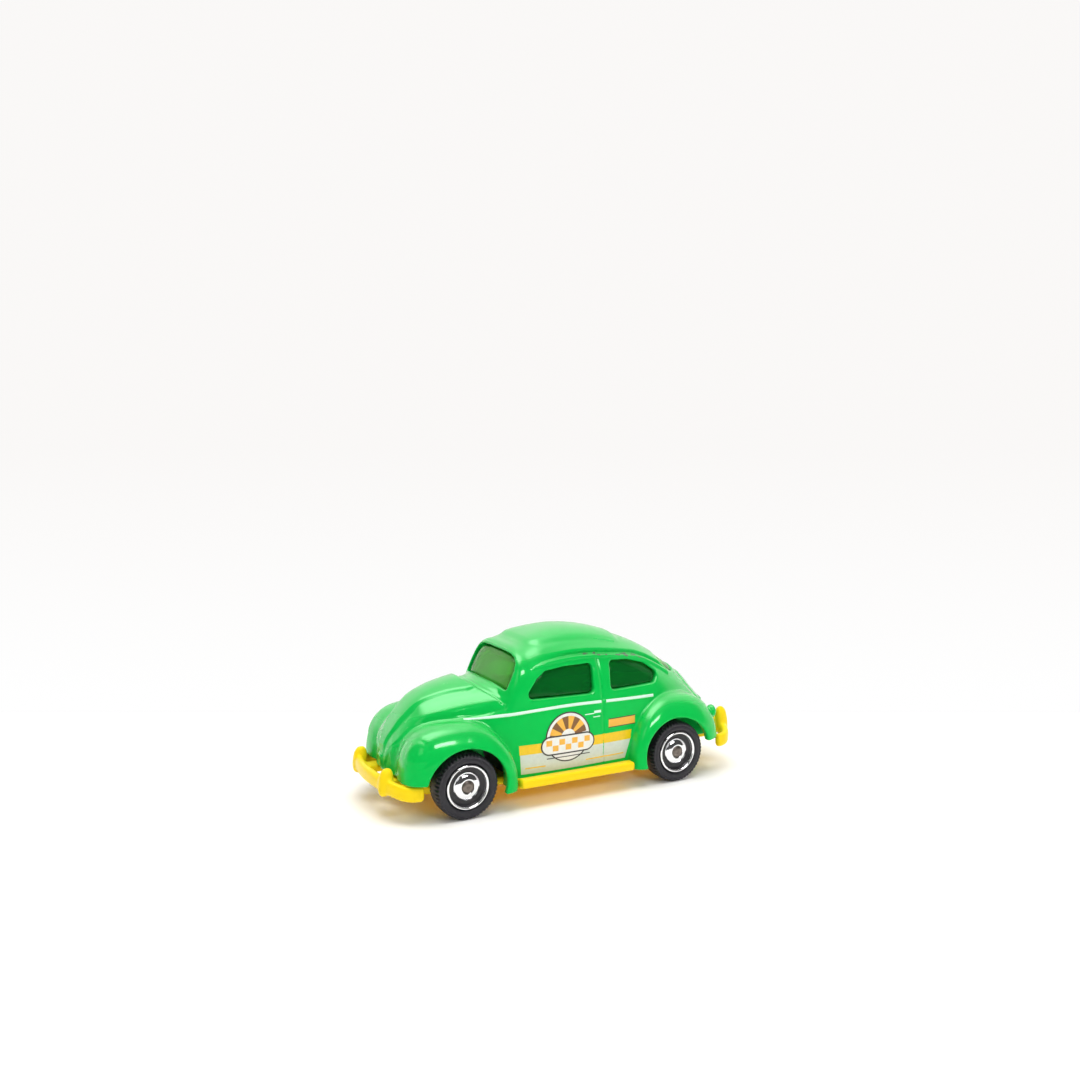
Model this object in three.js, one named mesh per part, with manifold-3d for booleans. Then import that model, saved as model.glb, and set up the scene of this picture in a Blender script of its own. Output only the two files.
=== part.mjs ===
// Die-cast toy car: a rounded two-door saloon of about 1:58 scale, in millimetres, +Z up.
// The nose points to -Y, the car's left side is +X, and the tyres stand on z = 0.
// A painted metal shell holds a clear window moulding and a seat tray. A plastic base with
// bumpers and running boards closes it, and carries two steel axles with four wheels.
// The shell's two posts pass through the base and are headed over under it as rivets.
import * as THREE from 'three';
import { mergeVertices } from 'three/addons/utils/BufferGeometryUtils.js';
import Module from 'manifold-3d';

const wasm = await Module();
wasm.setup();

// Wheels and axles
const WHEELBASE = 41.6;
const WHEEL_INSET = 0.75;
const TYRE_RADIUS = 5.5;
const TYRE_WIDTH = 3.9;
const TYRE_SEAT_RADIUS = 3.85;
const TREAD_BLOCKS = 14;
const TREAD_DEPTH = 0.3;
const SHOULDER_DROP = 0.16;
const SHOULDER_WIDTH = 0.9;
const RIM_LIP_WIDTH = 0.42;
const HUB_DISH_DEPTH = 0.75;
const HUB_CONE_RADIUS = 2.3;
const HUB_NOSE_RADIUS = 1.35;
const HUB_BOSS_RADIUS = 1.7;
const AXLE_RADIUS = 0.75;
const AXLE_HEAD_RADIUS = 1.0;
const AXLE_HEAD_LENGTH = 0.4;

// Body shell
const FRONT_OVERHANG = 13.9;
const REAR_OVERHANG = 15.6;
const NOSE_REACH = 10.6;
const TAIL_REACH = 12.8;
const BODY_WALL = 1.2;
const BODY_HALF_WIDTH = 10.7;
const ROOF_HEIGHT = 28.7;
const COWL_HEIGHT = 20.7;
const BELT_HEIGHT = 17.8;
const WAIST_HEIGHT = 11.5;
const SILL_HEIGHT = 4.9;
const SILL_TUCK = 0.35;
const NOSE_LIP = 9.0;
const VALANCE_HEIGHT = 6.6;
const SUNROOF_RISE = 0.35;
const SUNROOF_INSET = 5.0;
const SUNROOF_LENGTH = 18.6;
const HOOD_RISE = 0.22;
const LID_RISE = 0.22;
const RAIL_RADIUS = 0.36;
const RAIL_FRONT = 7.4;
const RAIL_REAR = 22.5;
const POST_RADIUS = 1.5;
const RIVET_RADIUS = 2.2;
const RIVET_THICKNESS = 0.5;
const BRIDGE_LENGTH = 2.6;
const BRIDGE_HEIGHT = 2.2;

// Fenders and lamps
const FENDER_WALL = 1.3;
const FENDER_BULGE = 2.65;
const FENDER_CROWN_INSET = 4.75;
const FENDER_DEPTH = 10.75;
const FRONT_FENDER_TOP = 15.6;
const REAR_FENDER_TOP = 15.7;
const FENDER_CENTRE = 4.6;
const FENDER_SKIRT = 3.4;
const FRONT_FENDER_NOSE = 10.3;
const FRONT_FENDER_TAIL = 9.5;
const REAR_FENDER_NOSE = 9.1;
const REAR_FENDER_TAIL = 10.8;
const ARCH_REACH = 7.0;
const ARCH_RISE = 6.35;
const HEADLAMP_RADIUS = 2.05;
const TAIL_LAMP_RADIUS = 1.3;
const LAMP_RISE = 0.3;
const LAMP_FLATNESS = 0.4;
const LAMP_PROBE = 0.01;
const HEADLAMP_SWING = THREE.MathUtils.degToRad(24);
const HEADLAMP_TURN = THREE.MathUtils.degToRad(146);
const TAIL_LAMP_SWING = THREE.MathUtils.degToRad(12);
const TAIL_LAMP_TURN = THREE.MathUtils.degToRad(28);

// Windows
const GLASS_INSET = 0.6;
const GLASS_THICKNESS = 0.9;
const WINDOW_DROP = 5.7;
const SHUT_LINE = 6.2;
const PILLAR_HALF_WIDTH = 1.75;
const SCREEN_POST = 1.5;
const SCREEN_RISE = 5.85;
const SCREEN_LEAN = 63;
const SCREEN_SAG = 0.5;
const BACKLIGHT_POST = 4.8;
const BACKLIGHT_RISE = 4.9;
const BACKLIGHT_LEAN = 35;
const SCREEN_CORNER = 2.0;
const SIDE_CORNER = 1.1;

// Base, bumpers and running boards
const BASE_BOTTOM = 3.3;
const BASE_THICKNESS = 1.3;
const BASE_INSET = 0.5;
const UPSTAND_HEIGHT = 2.4;
const BOARD_INSET = 0.45;
const BOARD_BOTTOM = 3.6;
const BOARD_TOP = 5.1;
const BOARD_BEVEL = 0.35;
const BUMPER_HEIGHT = 2.5;
const BUMPER_THICKNESS = 1.3;
const FRONT_BUMPER_CENTRE = 6.4;
const REAR_BUMPER_CENTRE = 7.2;
const BUMPER_DROOP = 1.35;
const BUMPER_INSET = 2.05;
const FRONT_BUMPER_WRAP = 5.6;
const REAR_BUMPER_WRAP = 4.2;
const BUMPER_ARM_INSET = 6.7;
const BUMPER_ARM_WIDTH = 1.8;
const BUMPER_ARM_HEIGHT = 1.1;
const BUMPER_ARM_ROOT = 5.0;
const OVERRIDER_INSET = 4.4;
const OVERRIDER_WIDTH = 1.8;
const OVERRIDER_DEPTH = 0.95;
const FRONT_OVERRIDER = { height: 4.6, lift: 0.2 };
const REAR_OVERRIDER = { height: 6.0, lift: 0.9 };
const SADDLE_X = 4.6;
const SADDLE_WIDTH = 2.6;
const SADDLE_LENGTH = 3.2;

// Seat tray
const TRAY_INSET = 2.5;
const TRAY_WALL = 0.8;
const TRAY_SIDE = 12.5;
const TRAY_FRONT = 11.6;
const TRAY_REAR = 14.0;
const SEAT_BACK = 16.2;
const SEAT_WIDTH = 5.6;
const SEAT_GAP = 1.6;
const SEAT_FRONT = 3.6;
const SEAT_REAR = 4.0;
const CUSHION_HEIGHT = 3.4;
const BACK_THICKNESS = 1.6;
const BENCH_DEPTH = 5.9;
const DASH_DEPTH = 2.8;
const DASH_DROP = 1.6;
const STEERING_REACH = 4.6;
const STEERING_RADIUS = 1.9;
const STEERING_RIM = 0.32;

// Fits: running fits for what turns, seats for what is clamped
const RUNNING_FIT = 0.08;
const SEAT_FIT = 0.3;
const WELL_FIT = 0.4;

// Places along, across and up the car
const LENGTH = FRONT_OVERHANG + WHEELBASE + REAR_OVERHANG;
const FRONT_AXLE_Y = -LENGTH / 2 + FRONT_OVERHANG;
const REAR_AXLE_Y = FRONT_AXLE_Y + WHEELBASE;
const MID_Y = (FRONT_AXLE_Y + REAR_AXLE_Y) / 2;
const FENDER_HALF_WIDTH = BODY_HALF_WIDTH + FENDER_BULGE;
const FENDER_CROWN_X = FENDER_HALF_WIDTH - FENDER_CROWN_INSET;
const FENDER_INNER_X = FENDER_HALF_WIDTH - FENDER_DEPTH;
const WHEEL_FACE_X = FENDER_HALF_WIDTH - WHEEL_INSET;
const BOARD_HALF_WIDTH = FENDER_HALF_WIDTH - BOARD_INSET;
const BUMPER_HALF_SPAN = FENDER_HALF_WIDTH - BUMPER_INSET;
const OVERRIDER_X = BUMPER_HALF_SPAN - OVERRIDER_INSET;
const BUMPER_ARM_X = BODY_HALF_WIDTH - BUMPER_ARM_INSET;
const SCREEN_HALF_WIDTH = BODY_HALF_WIDTH - SCREEN_POST;
const BACKLIGHT_HALF_WIDTH = BODY_HALF_WIDTH - BACKLIGHT_POST;
const SUNROOF_HALF_WIDTH = BODY_HALF_WIDTH - SUNROOF_INSET;
const TRAY_HALF_WIDTH = BODY_HALF_WIDTH - TRAY_INSET;
const WINDOW_TOP = ROOF_HEIGHT - WINDOW_DROP;
const NOSE_Y = FRONT_AXLE_Y - NOSE_REACH;
const TAIL_Y = REAR_AXLE_Y + TAIL_REACH;
const WELL_INNER_X = WHEEL_FACE_X - TYRE_WIDTH - WELL_FIT;
const BASE_HALF_WIDTH = WELL_INNER_X - BASE_INSET;
const BASE_TOP = BASE_BOTTOM + BASE_THICKNESS;
const AXLE_TOP = TYRE_RADIUS + AXLE_RADIUS + RUNNING_FIT;
const FRONT_POST_Y = FRONT_AXLE_Y - 4.8;
const REAR_POST_Y = REAR_AXLE_Y + 8.2;
const BEYOND = 60;

const v3 = (x, y, z) => new THREE.Vector3(x, y, z);
const v2 = (x, y) => new THREE.Vector2(x, y);
const X = v3(1, 0, 0);
const Y = v3(0, 1, 0);
const Z = v3(0, 0, 1);
const radians = THREE.MathUtils.degToRad;

// Closed triangle meshes to solids and back, for joins and cuts
function solid(geometry) {
  const bare = geometry.index ? geometry.toNonIndexed() : geometry.clone();
  bare.deleteAttribute('normal');
  bare.deleteAttribute('uv');
  const merged = mergeVertices(bare, 1e-4);
  return new wasm.Manifold(new wasm.Mesh({
    numProp: 3,
    vertProperties: new Float32Array(merged.attributes.position.array),
    triVerts: new Uint32Array(merged.index.array),
  }));
}

function geometryOf(body) {
  const mesh = body.getMesh();
  const geometry = new THREE.BufferGeometry();
  geometry.setAttribute('position', new THREE.BufferAttribute(mesh.vertProperties, mesh.numProp));
  geometry.setIndex(new THREE.BufferAttribute(mesh.triVerts, 1));
  return geometry;
}

const join = (bodies) => bodies.reduce((sum, body) => sum.add(body));
const cut = (body, tools) => tools.reduce((rest, tool) => rest.subtract(tool), body);

// A skin through rows of points: each row is a closed ring. The ends are closed by fans,
// or, for a hoop, the last row is joined to the first.
function skin(rows, hoop = false) {
  const count = rows[0].length;
  const points = rows.flat();
  const faces = [];
  const rowPairs = hoop ? rows.length : rows.length - 1;
  for (let row = 0; row < rowPairs; row += 1) {
    const next = (row + 1) % rows.length;
    for (let col = 0; col < count; col += 1) {
      const side = (col + 1) % count;
      const [a, b] = [row * count + col, row * count + side];
      const [c, d] = [next * count + side, next * count + col];
      faces.push([a, b, c], [a, c, d]);
    }
  }
  if (!hoop) {
    [0, rows.length - 1].forEach((row) => {
      const centre = v3(0, 0, 0);
      rows[row].forEach((p) => centre.addScaledVector(p, 1 / count));
      const hub = points.push(centre) - 1;
      for (let col = 0; col < count; col += 1) {
        const [a, b] = [row * count + col, row * count + ((col + 1) % count)];
        faces.push(row === 0 ? [hub, b, a] : [hub, a, b]);
      }
    });
  }
  const build = (list) => {
    const geometry = new THREE.BufferGeometry().setFromPoints(points);
    geometry.setIndex(list.flat());
    return solid(geometry);
  };
  const body = build(faces);
  return body.volume() > 0 ? body : build(faces.map(([a, b, c]) => [a, c, b]));
}

function block(x0, x1, y0, y1, z0, z1) {
  const geometry = new THREE.BoxGeometry(x1 - x0, y1 - y0, z1 - z0);
  geometry.translate((x0 + x1) / 2, (y0 + y1) / 2, (z0 + z1) / 2);
  return solid(geometry);
}

function roundBar(radius, from, to, sides) {
  const geometry = new THREE.CylinderGeometry(radius, radius, from.distanceTo(to), sides);
  const turn = new THREE.Quaternion().setFromUnitVectors(Y, to.clone().sub(from).normalize());
  geometry.applyQuaternion(turn);
  geometry.translate(...from.clone().lerp(to, 0.5).toArray());
  return solid(geometry);
}

function ellipsoid(centre, radii) {
  const geometry = new THREE.SphereGeometry(1, 9, 6);
  geometry.scale(...radii);
  geometry.translate(...centre);
  return solid(geometry);
}

// Outline with rounded corners, from points in order
function roundedShape(points, radius) {
  const shape = new THREE.Shape();
  points.forEach((corner, i) => {
    const before = points[(i + points.length - 1) % points.length];
    const after = points[(i + 1) % points.length];
    const towards = (other) => {
      const length = corner.distanceTo(other);
      return corner.clone().lerp(other, Math.min(radius / length, 0.45));
    };
    const start = towards(before);
    if (i === 0) shape.moveTo(start.x, start.y);
    else shape.lineTo(start.x, start.y);
    const end = towards(after);
    shape.quadraticCurveTo(corner.x, corner.y, end.x, end.y);
  });
  shape.closePath();
  return shape;
}

// The same outline drawn in by a distance on every side, for a pane inside its opening
function drawnIn(points, distance) {
  return points.map((corner, i) => {
    const before = points[(i + points.length - 1) % points.length];
    const after = points[(i + 1) % points.length];
    const a = corner.clone().sub(before).normalize();
    const b = after.clone().sub(corner).normalize();
    const bisector = v2(-a.y - b.y, a.x + b.x).normalize();
    const spread = Math.max(-a.y * bisector.x + a.x * bisector.y, 0.5);
    return corner.clone().addScaledVector(bisector, distance / spread);
  });
}

// Outline drawn on u and v at an origin, and pushed through along u x v
const CURVE_STEPS = 3;
function prism(shape, origin, u, v, from, to) {
  const options = { depth: to - from, bevelEnabled: false, curveSegments: CURVE_STEPS };
  const geometry = new THREE.ExtrudeGeometry(shape, options);
  const n = u.clone().cross(v);
  geometry.applyMatrix4(new THREE.Matrix4().makeBasis(u, v, n));
  geometry.translate(...origin.clone().addScaledVector(n, from).toArray());
  return solid(geometry);
}

const bothSides = (points) => [...points, ...points.slice().reverse().map((p) => v2(-p.x, p.y))];

// A curve of a value along the car, through a few points, and its inward parallels
const CURVE_SAMPLES = 240;
function alongCar(points) {
  const spline = new THREE.SplineCurve(points.map(([along, value]) => v2(along, value)));
  const samples = spline.getPoints(CURVE_SAMPLES);
  const parallel = (inset) => {
    const moved = samples.map((p, i) => {
      const a = samples[Math.max(i - 1, 0)];
      const b = samples[Math.min(i + 1, samples.length - 1)];
      const slope = b.clone().sub(a).normalize();
      return v2(p.x + slope.y * inset, p.y - slope.x * inset);
    });
    return (along) => {
      const i = moved.findIndex((p) => p.x > along);
      if (i < 1) return moved[i === 0 ? 0 : moved.length - 1].y;
      const share = (along - moved[i - 1].x) / (moved[i].x - moved[i - 1].x);
      return THREE.MathUtils.lerp(moved[i - 1].y, moved[i].y, share);
    };
  };
  parallel.spaced = (count) => spline.getSpacedPoints(count).map((p) => p.x);
  return parallel;
}

// Hull: centre line from nose to tail, plan half width, and how square its sections are
const centreLine = alongCar([
  [NOSE_Y, NOSE_LIP],
  [NOSE_Y + 0.5, NOSE_LIP + 2.4],
  [NOSE_Y + 2.2, COWL_HEIGHT - 6.1],
  [NOSE_Y + 5.2, COWL_HEIGHT - 3.0],
  [FRONT_AXLE_Y - 1.5, COWL_HEIGHT - 1.1],
  [FRONT_AXLE_Y + 3.2, COWL_HEIGHT - 0.1],
  [MID_Y - 13.6, COWL_HEIGHT],
  [MID_Y - 12.4, COWL_HEIGHT + 0.5],
  [MID_Y - 9.9, COWL_HEIGHT + 5.2],
  [MID_Y - 7.6, ROOF_HEIGHT - 1.85],
  [MID_Y - 3.8, ROOF_HEIGHT - 0.6],
  [MID_Y + 2.0, ROOF_HEIGHT],
  [MID_Y + 8.5, ROOF_HEIGHT - 0.85],
  [MID_Y + 15.5, ROOF_HEIGHT - 3.15],
  [REAR_AXLE_Y, ROOF_HEIGHT - 5.75],
  [REAR_AXLE_Y + 5.2, ROOF_HEIGHT - 9.35],
  [REAR_AXLE_Y + 9.2, ROOF_HEIGHT - 13.55],
  [TAIL_Y - 1.2, NOSE_LIP + 3.0],
  [TAIL_Y, NOSE_LIP - 0.5],
]);
const planLine = alongCar([
  [NOSE_Y, 0.6],
  [NOSE_Y + 0.5, 2.4],
  [NOSE_Y + 3.2, BODY_HALF_WIDTH - 5.8],
  [FRONT_AXLE_Y - 3.4, BODY_HALF_WIDTH - 3.7],
  [FRONT_AXLE_Y + 2.0, BODY_HALF_WIDTH - 2.0],
  [MID_Y - 13.0, BODY_HALF_WIDTH - 0.8],
  [MID_Y - 6.0, BODY_HALF_WIDTH - 0.1],
  [MID_Y + 2.0, BODY_HALF_WIDTH],
  [MID_Y + 12.0, BODY_HALF_WIDTH - 0.5],
  [REAR_AXLE_Y, BODY_HALF_WIDTH - 1.7],
  [REAR_AXLE_Y + 6.0, BODY_HALF_WIDTH - 3.7],
  [TAIL_Y - 2.4, BODY_HALF_WIDTH - 6.1],
  [TAIL_Y - 0.5, 2.2],
  [TAIL_Y, 0.6],
]);
const squareness = alongCar([
  [NOSE_Y, 2.0],
  [FRONT_AXLE_Y + 2.0, 2.1],
  [MID_Y - 14.0, 2.7],
  [MID_Y - 10.5, 4.6],
  [MID_Y - 6.0, 3.5],
  [MID_Y + 1.0, 2.7],
  [REAR_AXLE_Y, 2.3],
  [TAIL_Y, 2.0],
])(0);

// Hull solid drawn in by an inset: its sections rise from the floor to the waist, then arch over
const HULL_STATIONS = 22;
const SIDE_STEPS = 2;
const ROOF_STEPS = 6;
const LEAST_SIZE = 0.3;
function hull(inset, floor) {
  const top = centreLine(inset);
  const plan = planLine(inset);
  const rings = centreLine.spaced(HULL_STATIONS).map((station) => {
    const y = THREE.MathUtils.mapLinear(station, NOSE_Y, TAIL_Y, NOSE_Y + inset, TAIL_Y - inset);
    const half = Math.max(plan(y), LEAST_SIZE);
    const waist = Math.min(WAIST_HEIGHT, top(y) - LEAST_SIZE);
    const power = 2 / squareness(y);
    const ring = [];
    for (let k = 0; k < SIDE_STEPS; k += 1) {
      const share = k / SIDE_STEPS;
      const tuck = SILL_TUCK * (1 - share) ** 2;
      ring.push(v3(Math.max(half - tuck, LEAST_SIZE / 2), y, floor + (waist - floor) * share));
    }
    for (let k = 0; k < ROOF_STEPS; k += 1) {
      const angle = (k / ROOF_STEPS) * Math.PI / 2;
      const rise = (top(y) - waist) * Math.sin(angle) ** power;
      ring.push(v3(half * Math.cos(angle) ** power, y, waist + rise));
    }
    const mirrored = ring.slice().reverse().map((p) => v3(-p.x, p.y, p.z));
    return [...ring, v3(0, y, top(y)), ...mirrored];
  });
  return skin(rings);
}

// Fender: a rounded blob over a wheel, half sunk in the hull's side. The half that runs down to
// the running board is rounder in outline, and keeps its full width further out.
const FENDER_SIDES = 18;
const FENDER_RINGS = 7;
const INNER_RINGS = 2;
const FULL_POWER = 2 / 3.3;
const PLUMP_POWER = 2 / 2.5;
const ROUND_POWER = 1;
const INNER_POWER = 2 / 3;
const CROWN_POWER = 2 / 2.6;
const TAIL_POWER = 2 / 6.5;
const signedPower = (value, power) => Math.sign(value) * Math.abs(value) ** power;
function fenderPoint(wheel, inset, swing, turn) {
  const angle = Math.abs(swing);
  const reach = swing < 0 ? FENDER_CROWN_X - FENDER_INNER_X : FENDER_HALF_WIDTH - inset - FENDER_CROWN_X;
  const boardward = Math.max(Math.cos(turn) * wheel.towardsBoard, 0) ** 1.5;
  const outerPower = THREE.MathUtils.lerp(CROWN_POWER, TAIL_POWER, boardward);
  const power = swing < 0 ? INNER_POWER : outerPower;
  const size = Math.cos(angle) ** power;
  const across = FENDER_CROWN_X + Math.sign(swing) * reach * Math.sin(angle) ** power;
  const half = Math.cos(turn) < 0 ? wheel.nose : wheel.tail;
  const along = signedPower(Math.cos(turn), half.power) * (half.length - inset) * size;
  const up = signedPower(Math.sin(turn), half.power) * (wheel.top - FENDER_CENTRE - inset) * size;
  return v3(wheel.side * across, wheel.y + along, FENDER_CENTRE + up);
}

function fender(wheel, inset) {
  const rings = [];
  for (let i = 0; i <= FENDER_RINGS; i += 1) {
    const outward = i - INNER_RINGS;
    const rows = outward < 0 ? INNER_RINGS : FENDER_RINGS - INNER_RINGS;
    const swing = (outward / (rows + 0.3)) * Math.PI / 2;
    rings.push(Array.from({ length: FENDER_SIDES }, (_, k) => (
      fenderPoint(wheel, inset, swing, (k / FENDER_SIDES) * Math.PI * 2))));
  }
  return skin(rings);
}

const frontWheel = {
  y: FRONT_AXLE_Y, top: FRONT_FENDER_TOP, towardsBoard: 1,
  nose: { length: FRONT_FENDER_NOSE, power: FULL_POWER },
  tail: { length: FRONT_FENDER_TAIL, power: ROUND_POWER },
};
const rearWheel = {
  y: REAR_AXLE_Y, top: REAR_FENDER_TOP, towardsBoard: -1,
  nose: { length: REAR_FENDER_NOSE, power: ROUND_POWER },
  tail: { length: REAR_FENDER_TAIL, power: PLUMP_POWER },
};
const wheels = [
  { name: 'front_left', side: 1, ...frontWheel },
  { name: 'front_right', side: -1, ...frontWheel },
  { name: 'rear_left', side: 1, ...rearWheel },
  { name: 'rear_right', side: -1, ...rearWheel },
];
const axles = [
  { name: 'front_axle', y: FRONT_AXLE_Y },
  { name: 'rear_axle', y: REAR_AXLE_Y },
];
const posts = [FRONT_POST_Y, REAR_POST_Y];

// Window openings: outlines on the side, on the leaning screen and on the leaning back light
const windowFront = SHUT_LINE - PILLAR_HALF_WIDTH;
const windowRear = SHUT_LINE + PILLAR_HALF_WIDTH;
const glassHeight = (share) => THREE.MathUtils.lerp(BELT_HEIGHT, WINDOW_TOP, share);
const doorWindow = [
  v2(MID_Y - 9.2, glassHeight(0.08)),
  v2(MID_Y + windowFront - 0.1, glassHeight(0)),
  v2(MID_Y + windowFront + 0.2, glassHeight(1)),
  v2(MID_Y - 1.4, glassHeight(1)),
  v2(MID_Y - 5.1, glassHeight(0.92)),
  v2(MID_Y - 6.8, glassHeight(0.68)),
];
const quarterWindow = [
  v2(MID_Y + windowRear, glassHeight(0.02)),
  v2(MID_Y + 18.2, glassHeight(0.02)),
  v2(MID_Y + 19.6, glassHeight(0.32)),
  v2(MID_Y + 16.6, glassHeight(0.7)),
  v2(MID_Y + 12.8, glassHeight(0.92)),
  v2(MID_Y + windowRear + 0.5, glassHeight(1)),
];
const windscreen = bothSides([
  v2(SCREEN_HALF_WIDTH / 2, 0),
  v2(SCREEN_HALF_WIDTH, -SCREEN_SAG),
  v2(SCREEN_HALF_WIDTH - 0.2, SCREEN_RISE),
]);
const backlight = bothSides([
  v2(BACKLIGHT_HALF_WIDTH, 0),
  v2(BACKLIGHT_HALF_WIDTH - 0.7, BACKLIGHT_RISE),
]);
const screenUp = v3(0, Math.cos(radians(SCREEN_LEAN)), Math.sin(radians(SCREEN_LEAN)));
const screenFoot = v3(0, MID_Y - 11.1, COWL_HEIGHT - 0.9);
const backlightUp = v3(0, -Math.cos(radians(BACKLIGHT_LEAN)), Math.sin(radians(BACKLIGHT_LEAN)));
const backlightFoot = v3(0, REAR_AXLE_Y + 4.7, ROOF_HEIGHT - 9.05);
const SCREEN_REACH = 2.8;
const SCREEN_DEPTH = 1.6;
function windowTools(distance) {
  const outline = (points, radius) => roundedShape(drawnIn(points, distance), radius);
  return [
    prism(outline(doorWindow, SIDE_CORNER), v3(0, 0, 0), Y, Z, -BEYOND, BEYOND),
    prism(outline(quarterWindow, SIDE_CORNER), v3(0, 0, 0), Y, Z, -BEYOND, BEYOND),
    prism(outline(windscreen, SCREEN_CORNER), screenFoot, X, screenUp, -SCREEN_DEPTH, SCREEN_REACH),
    prism(
      outline(backlight, SCREEN_CORNER), backlightFoot, X.clone().negate(), backlightUp,
      -SCREEN_REACH, SCREEN_REACH,
    ),
  ];
}

// Raised panels of the skin: fabric roof, front hood and engine lid
function raisedPanel(rise, tool) {
  return hull(-rise, SILL_HEIGHT).intersect(tool);
}
const sunroofOutline = bothSides([
  v2(SUNROOF_HALF_WIDTH, MID_Y - 6.4),
  v2(SUNROOF_HALF_WIDTH, MID_Y - 6.4 + SUNROOF_LENGTH),
]);
const hoodOutline = bothSides([
  v2(3.4, NOSE_Y - 2.0),
  v2(BODY_HALF_WIDTH - 3.2, FRONT_AXLE_Y + 1.2),
  v2(BODY_HALF_WIDTH - 1.4, MID_Y - 12.9),
  v2(BODY_HALF_WIDTH - 5.5, MID_Y - 14.7),
]);
const lidOutline = bothSides([
  v2(3.6, VALANCE_HEIGHT + 0.8),
  v2(5.0, ROOF_HEIGHT - 12.55),
  v2(3.8, ROOF_HEIGHT - 10.35),
]);
const panels = [
  raisedPanel(SUNROOF_RISE, prism(roundedShape(sunroofOutline, 2.2), v3(0, 0, 0), X, Y, BELT_HEIGHT, BEYOND)),
  raisedPanel(HOOD_RISE, prism(roundedShape(hoodOutline, 1.0), v3(0, 0, 0), X, Y, VALANCE_HEIGHT, BEYOND)),
  raisedPanel(LID_RISE, prism(
    roundedShape(lidOutline, 1.2), v3(0, REAR_AXLE_Y, 0), X.clone().negate(), Z, 2, BEYOND,
  )),
];

// Drip rail over the side windows, laid on the hull's own section
const RAIL_STEPS = 12;
const RAIL_SIDES = 4;
function dripRail(side) {
  const top = centreLine(0);
  const plan = planLine(0);
  const height = alongCar([
    [MID_Y - RAIL_FRONT, WINDOW_TOP - 0.4],
    [MID_Y - 3.0, WINDOW_TOP + 1.3],
    [MID_Y + 4.0, WINDOW_TOP + 1.8],
    [MID_Y + 12.0, WINDOW_TOP + 1.0],
    [MID_Y + 18.0, WINDOW_TOP - 1.0],
    [MID_Y + RAIL_REAR, WINDOW_TOP - 3.9],
  ])(0);
  const rings = [];
  for (let i = 0; i <= RAIL_STEPS; i += 1) {
    const y = THREE.MathUtils.lerp(MID_Y - RAIL_FRONT, MID_Y + RAIL_REAR, i / RAIL_STEPS);
    const share = (height(y) - WAIST_HEIGHT) / (top(y) - WAIST_HEIGHT);
    const x = plan(y) * (1 - share ** squareness(y)) ** (1 / squareness(y));
    const ring = [];
    for (let k = 0; k < RAIL_SIDES; k += 1) {
      const turn = (k / RAIL_SIDES) * Math.PI * 2;
      ring.push(v3(side * (x + RAIL_RADIUS * Math.cos(turn)), y, height(y) + RAIL_RADIUS * Math.sin(turn)));
    }
    rings.push(ring);
  }
  return skin(rings);
}

// Lamps: shallow round headlamp lenses on the front fenders, small lamps on the rear ones,
// each a flattened ball set square to the fender's skin
function lamp(wheel, swing, turn, radius) {
  const at = fenderPoint(wheel, 0, swing, turn);
  const alongSwing = fenderPoint(wheel, 0, swing + LAMP_PROBE, turn).sub(at);
  const alongTurn = fenderPoint(wheel, 0, swing, turn + LAMP_PROBE).sub(at);
  const facing = alongSwing.cross(alongTurn).normalize();
  if (facing.x * wheel.side < 0) facing.negate();
  const lens = new THREE.SphereGeometry(radius, 10, 5);
  lens.scale(1, LAMP_FLATNESS, 1);
  lens.applyQuaternion(new THREE.Quaternion().setFromUnitVectors(Y, facing));
  const sink = radius * LAMP_FLATNESS - LAMP_RISE;
  lens.translate(...at.addScaledVector(facing, -sink).toArray());
  return solid(lens);
}
const lamps = wheels.map((wheel) => (wheel.y === FRONT_AXLE_Y
  ? lamp(wheel, HEADLAMP_SWING, HEADLAMP_TURN, HEADLAMP_RADIUS)
  : lamp(wheel, TAIL_LAMP_SWING, TAIL_LAMP_TURN, TAIL_LAMP_RADIUS)));

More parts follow.
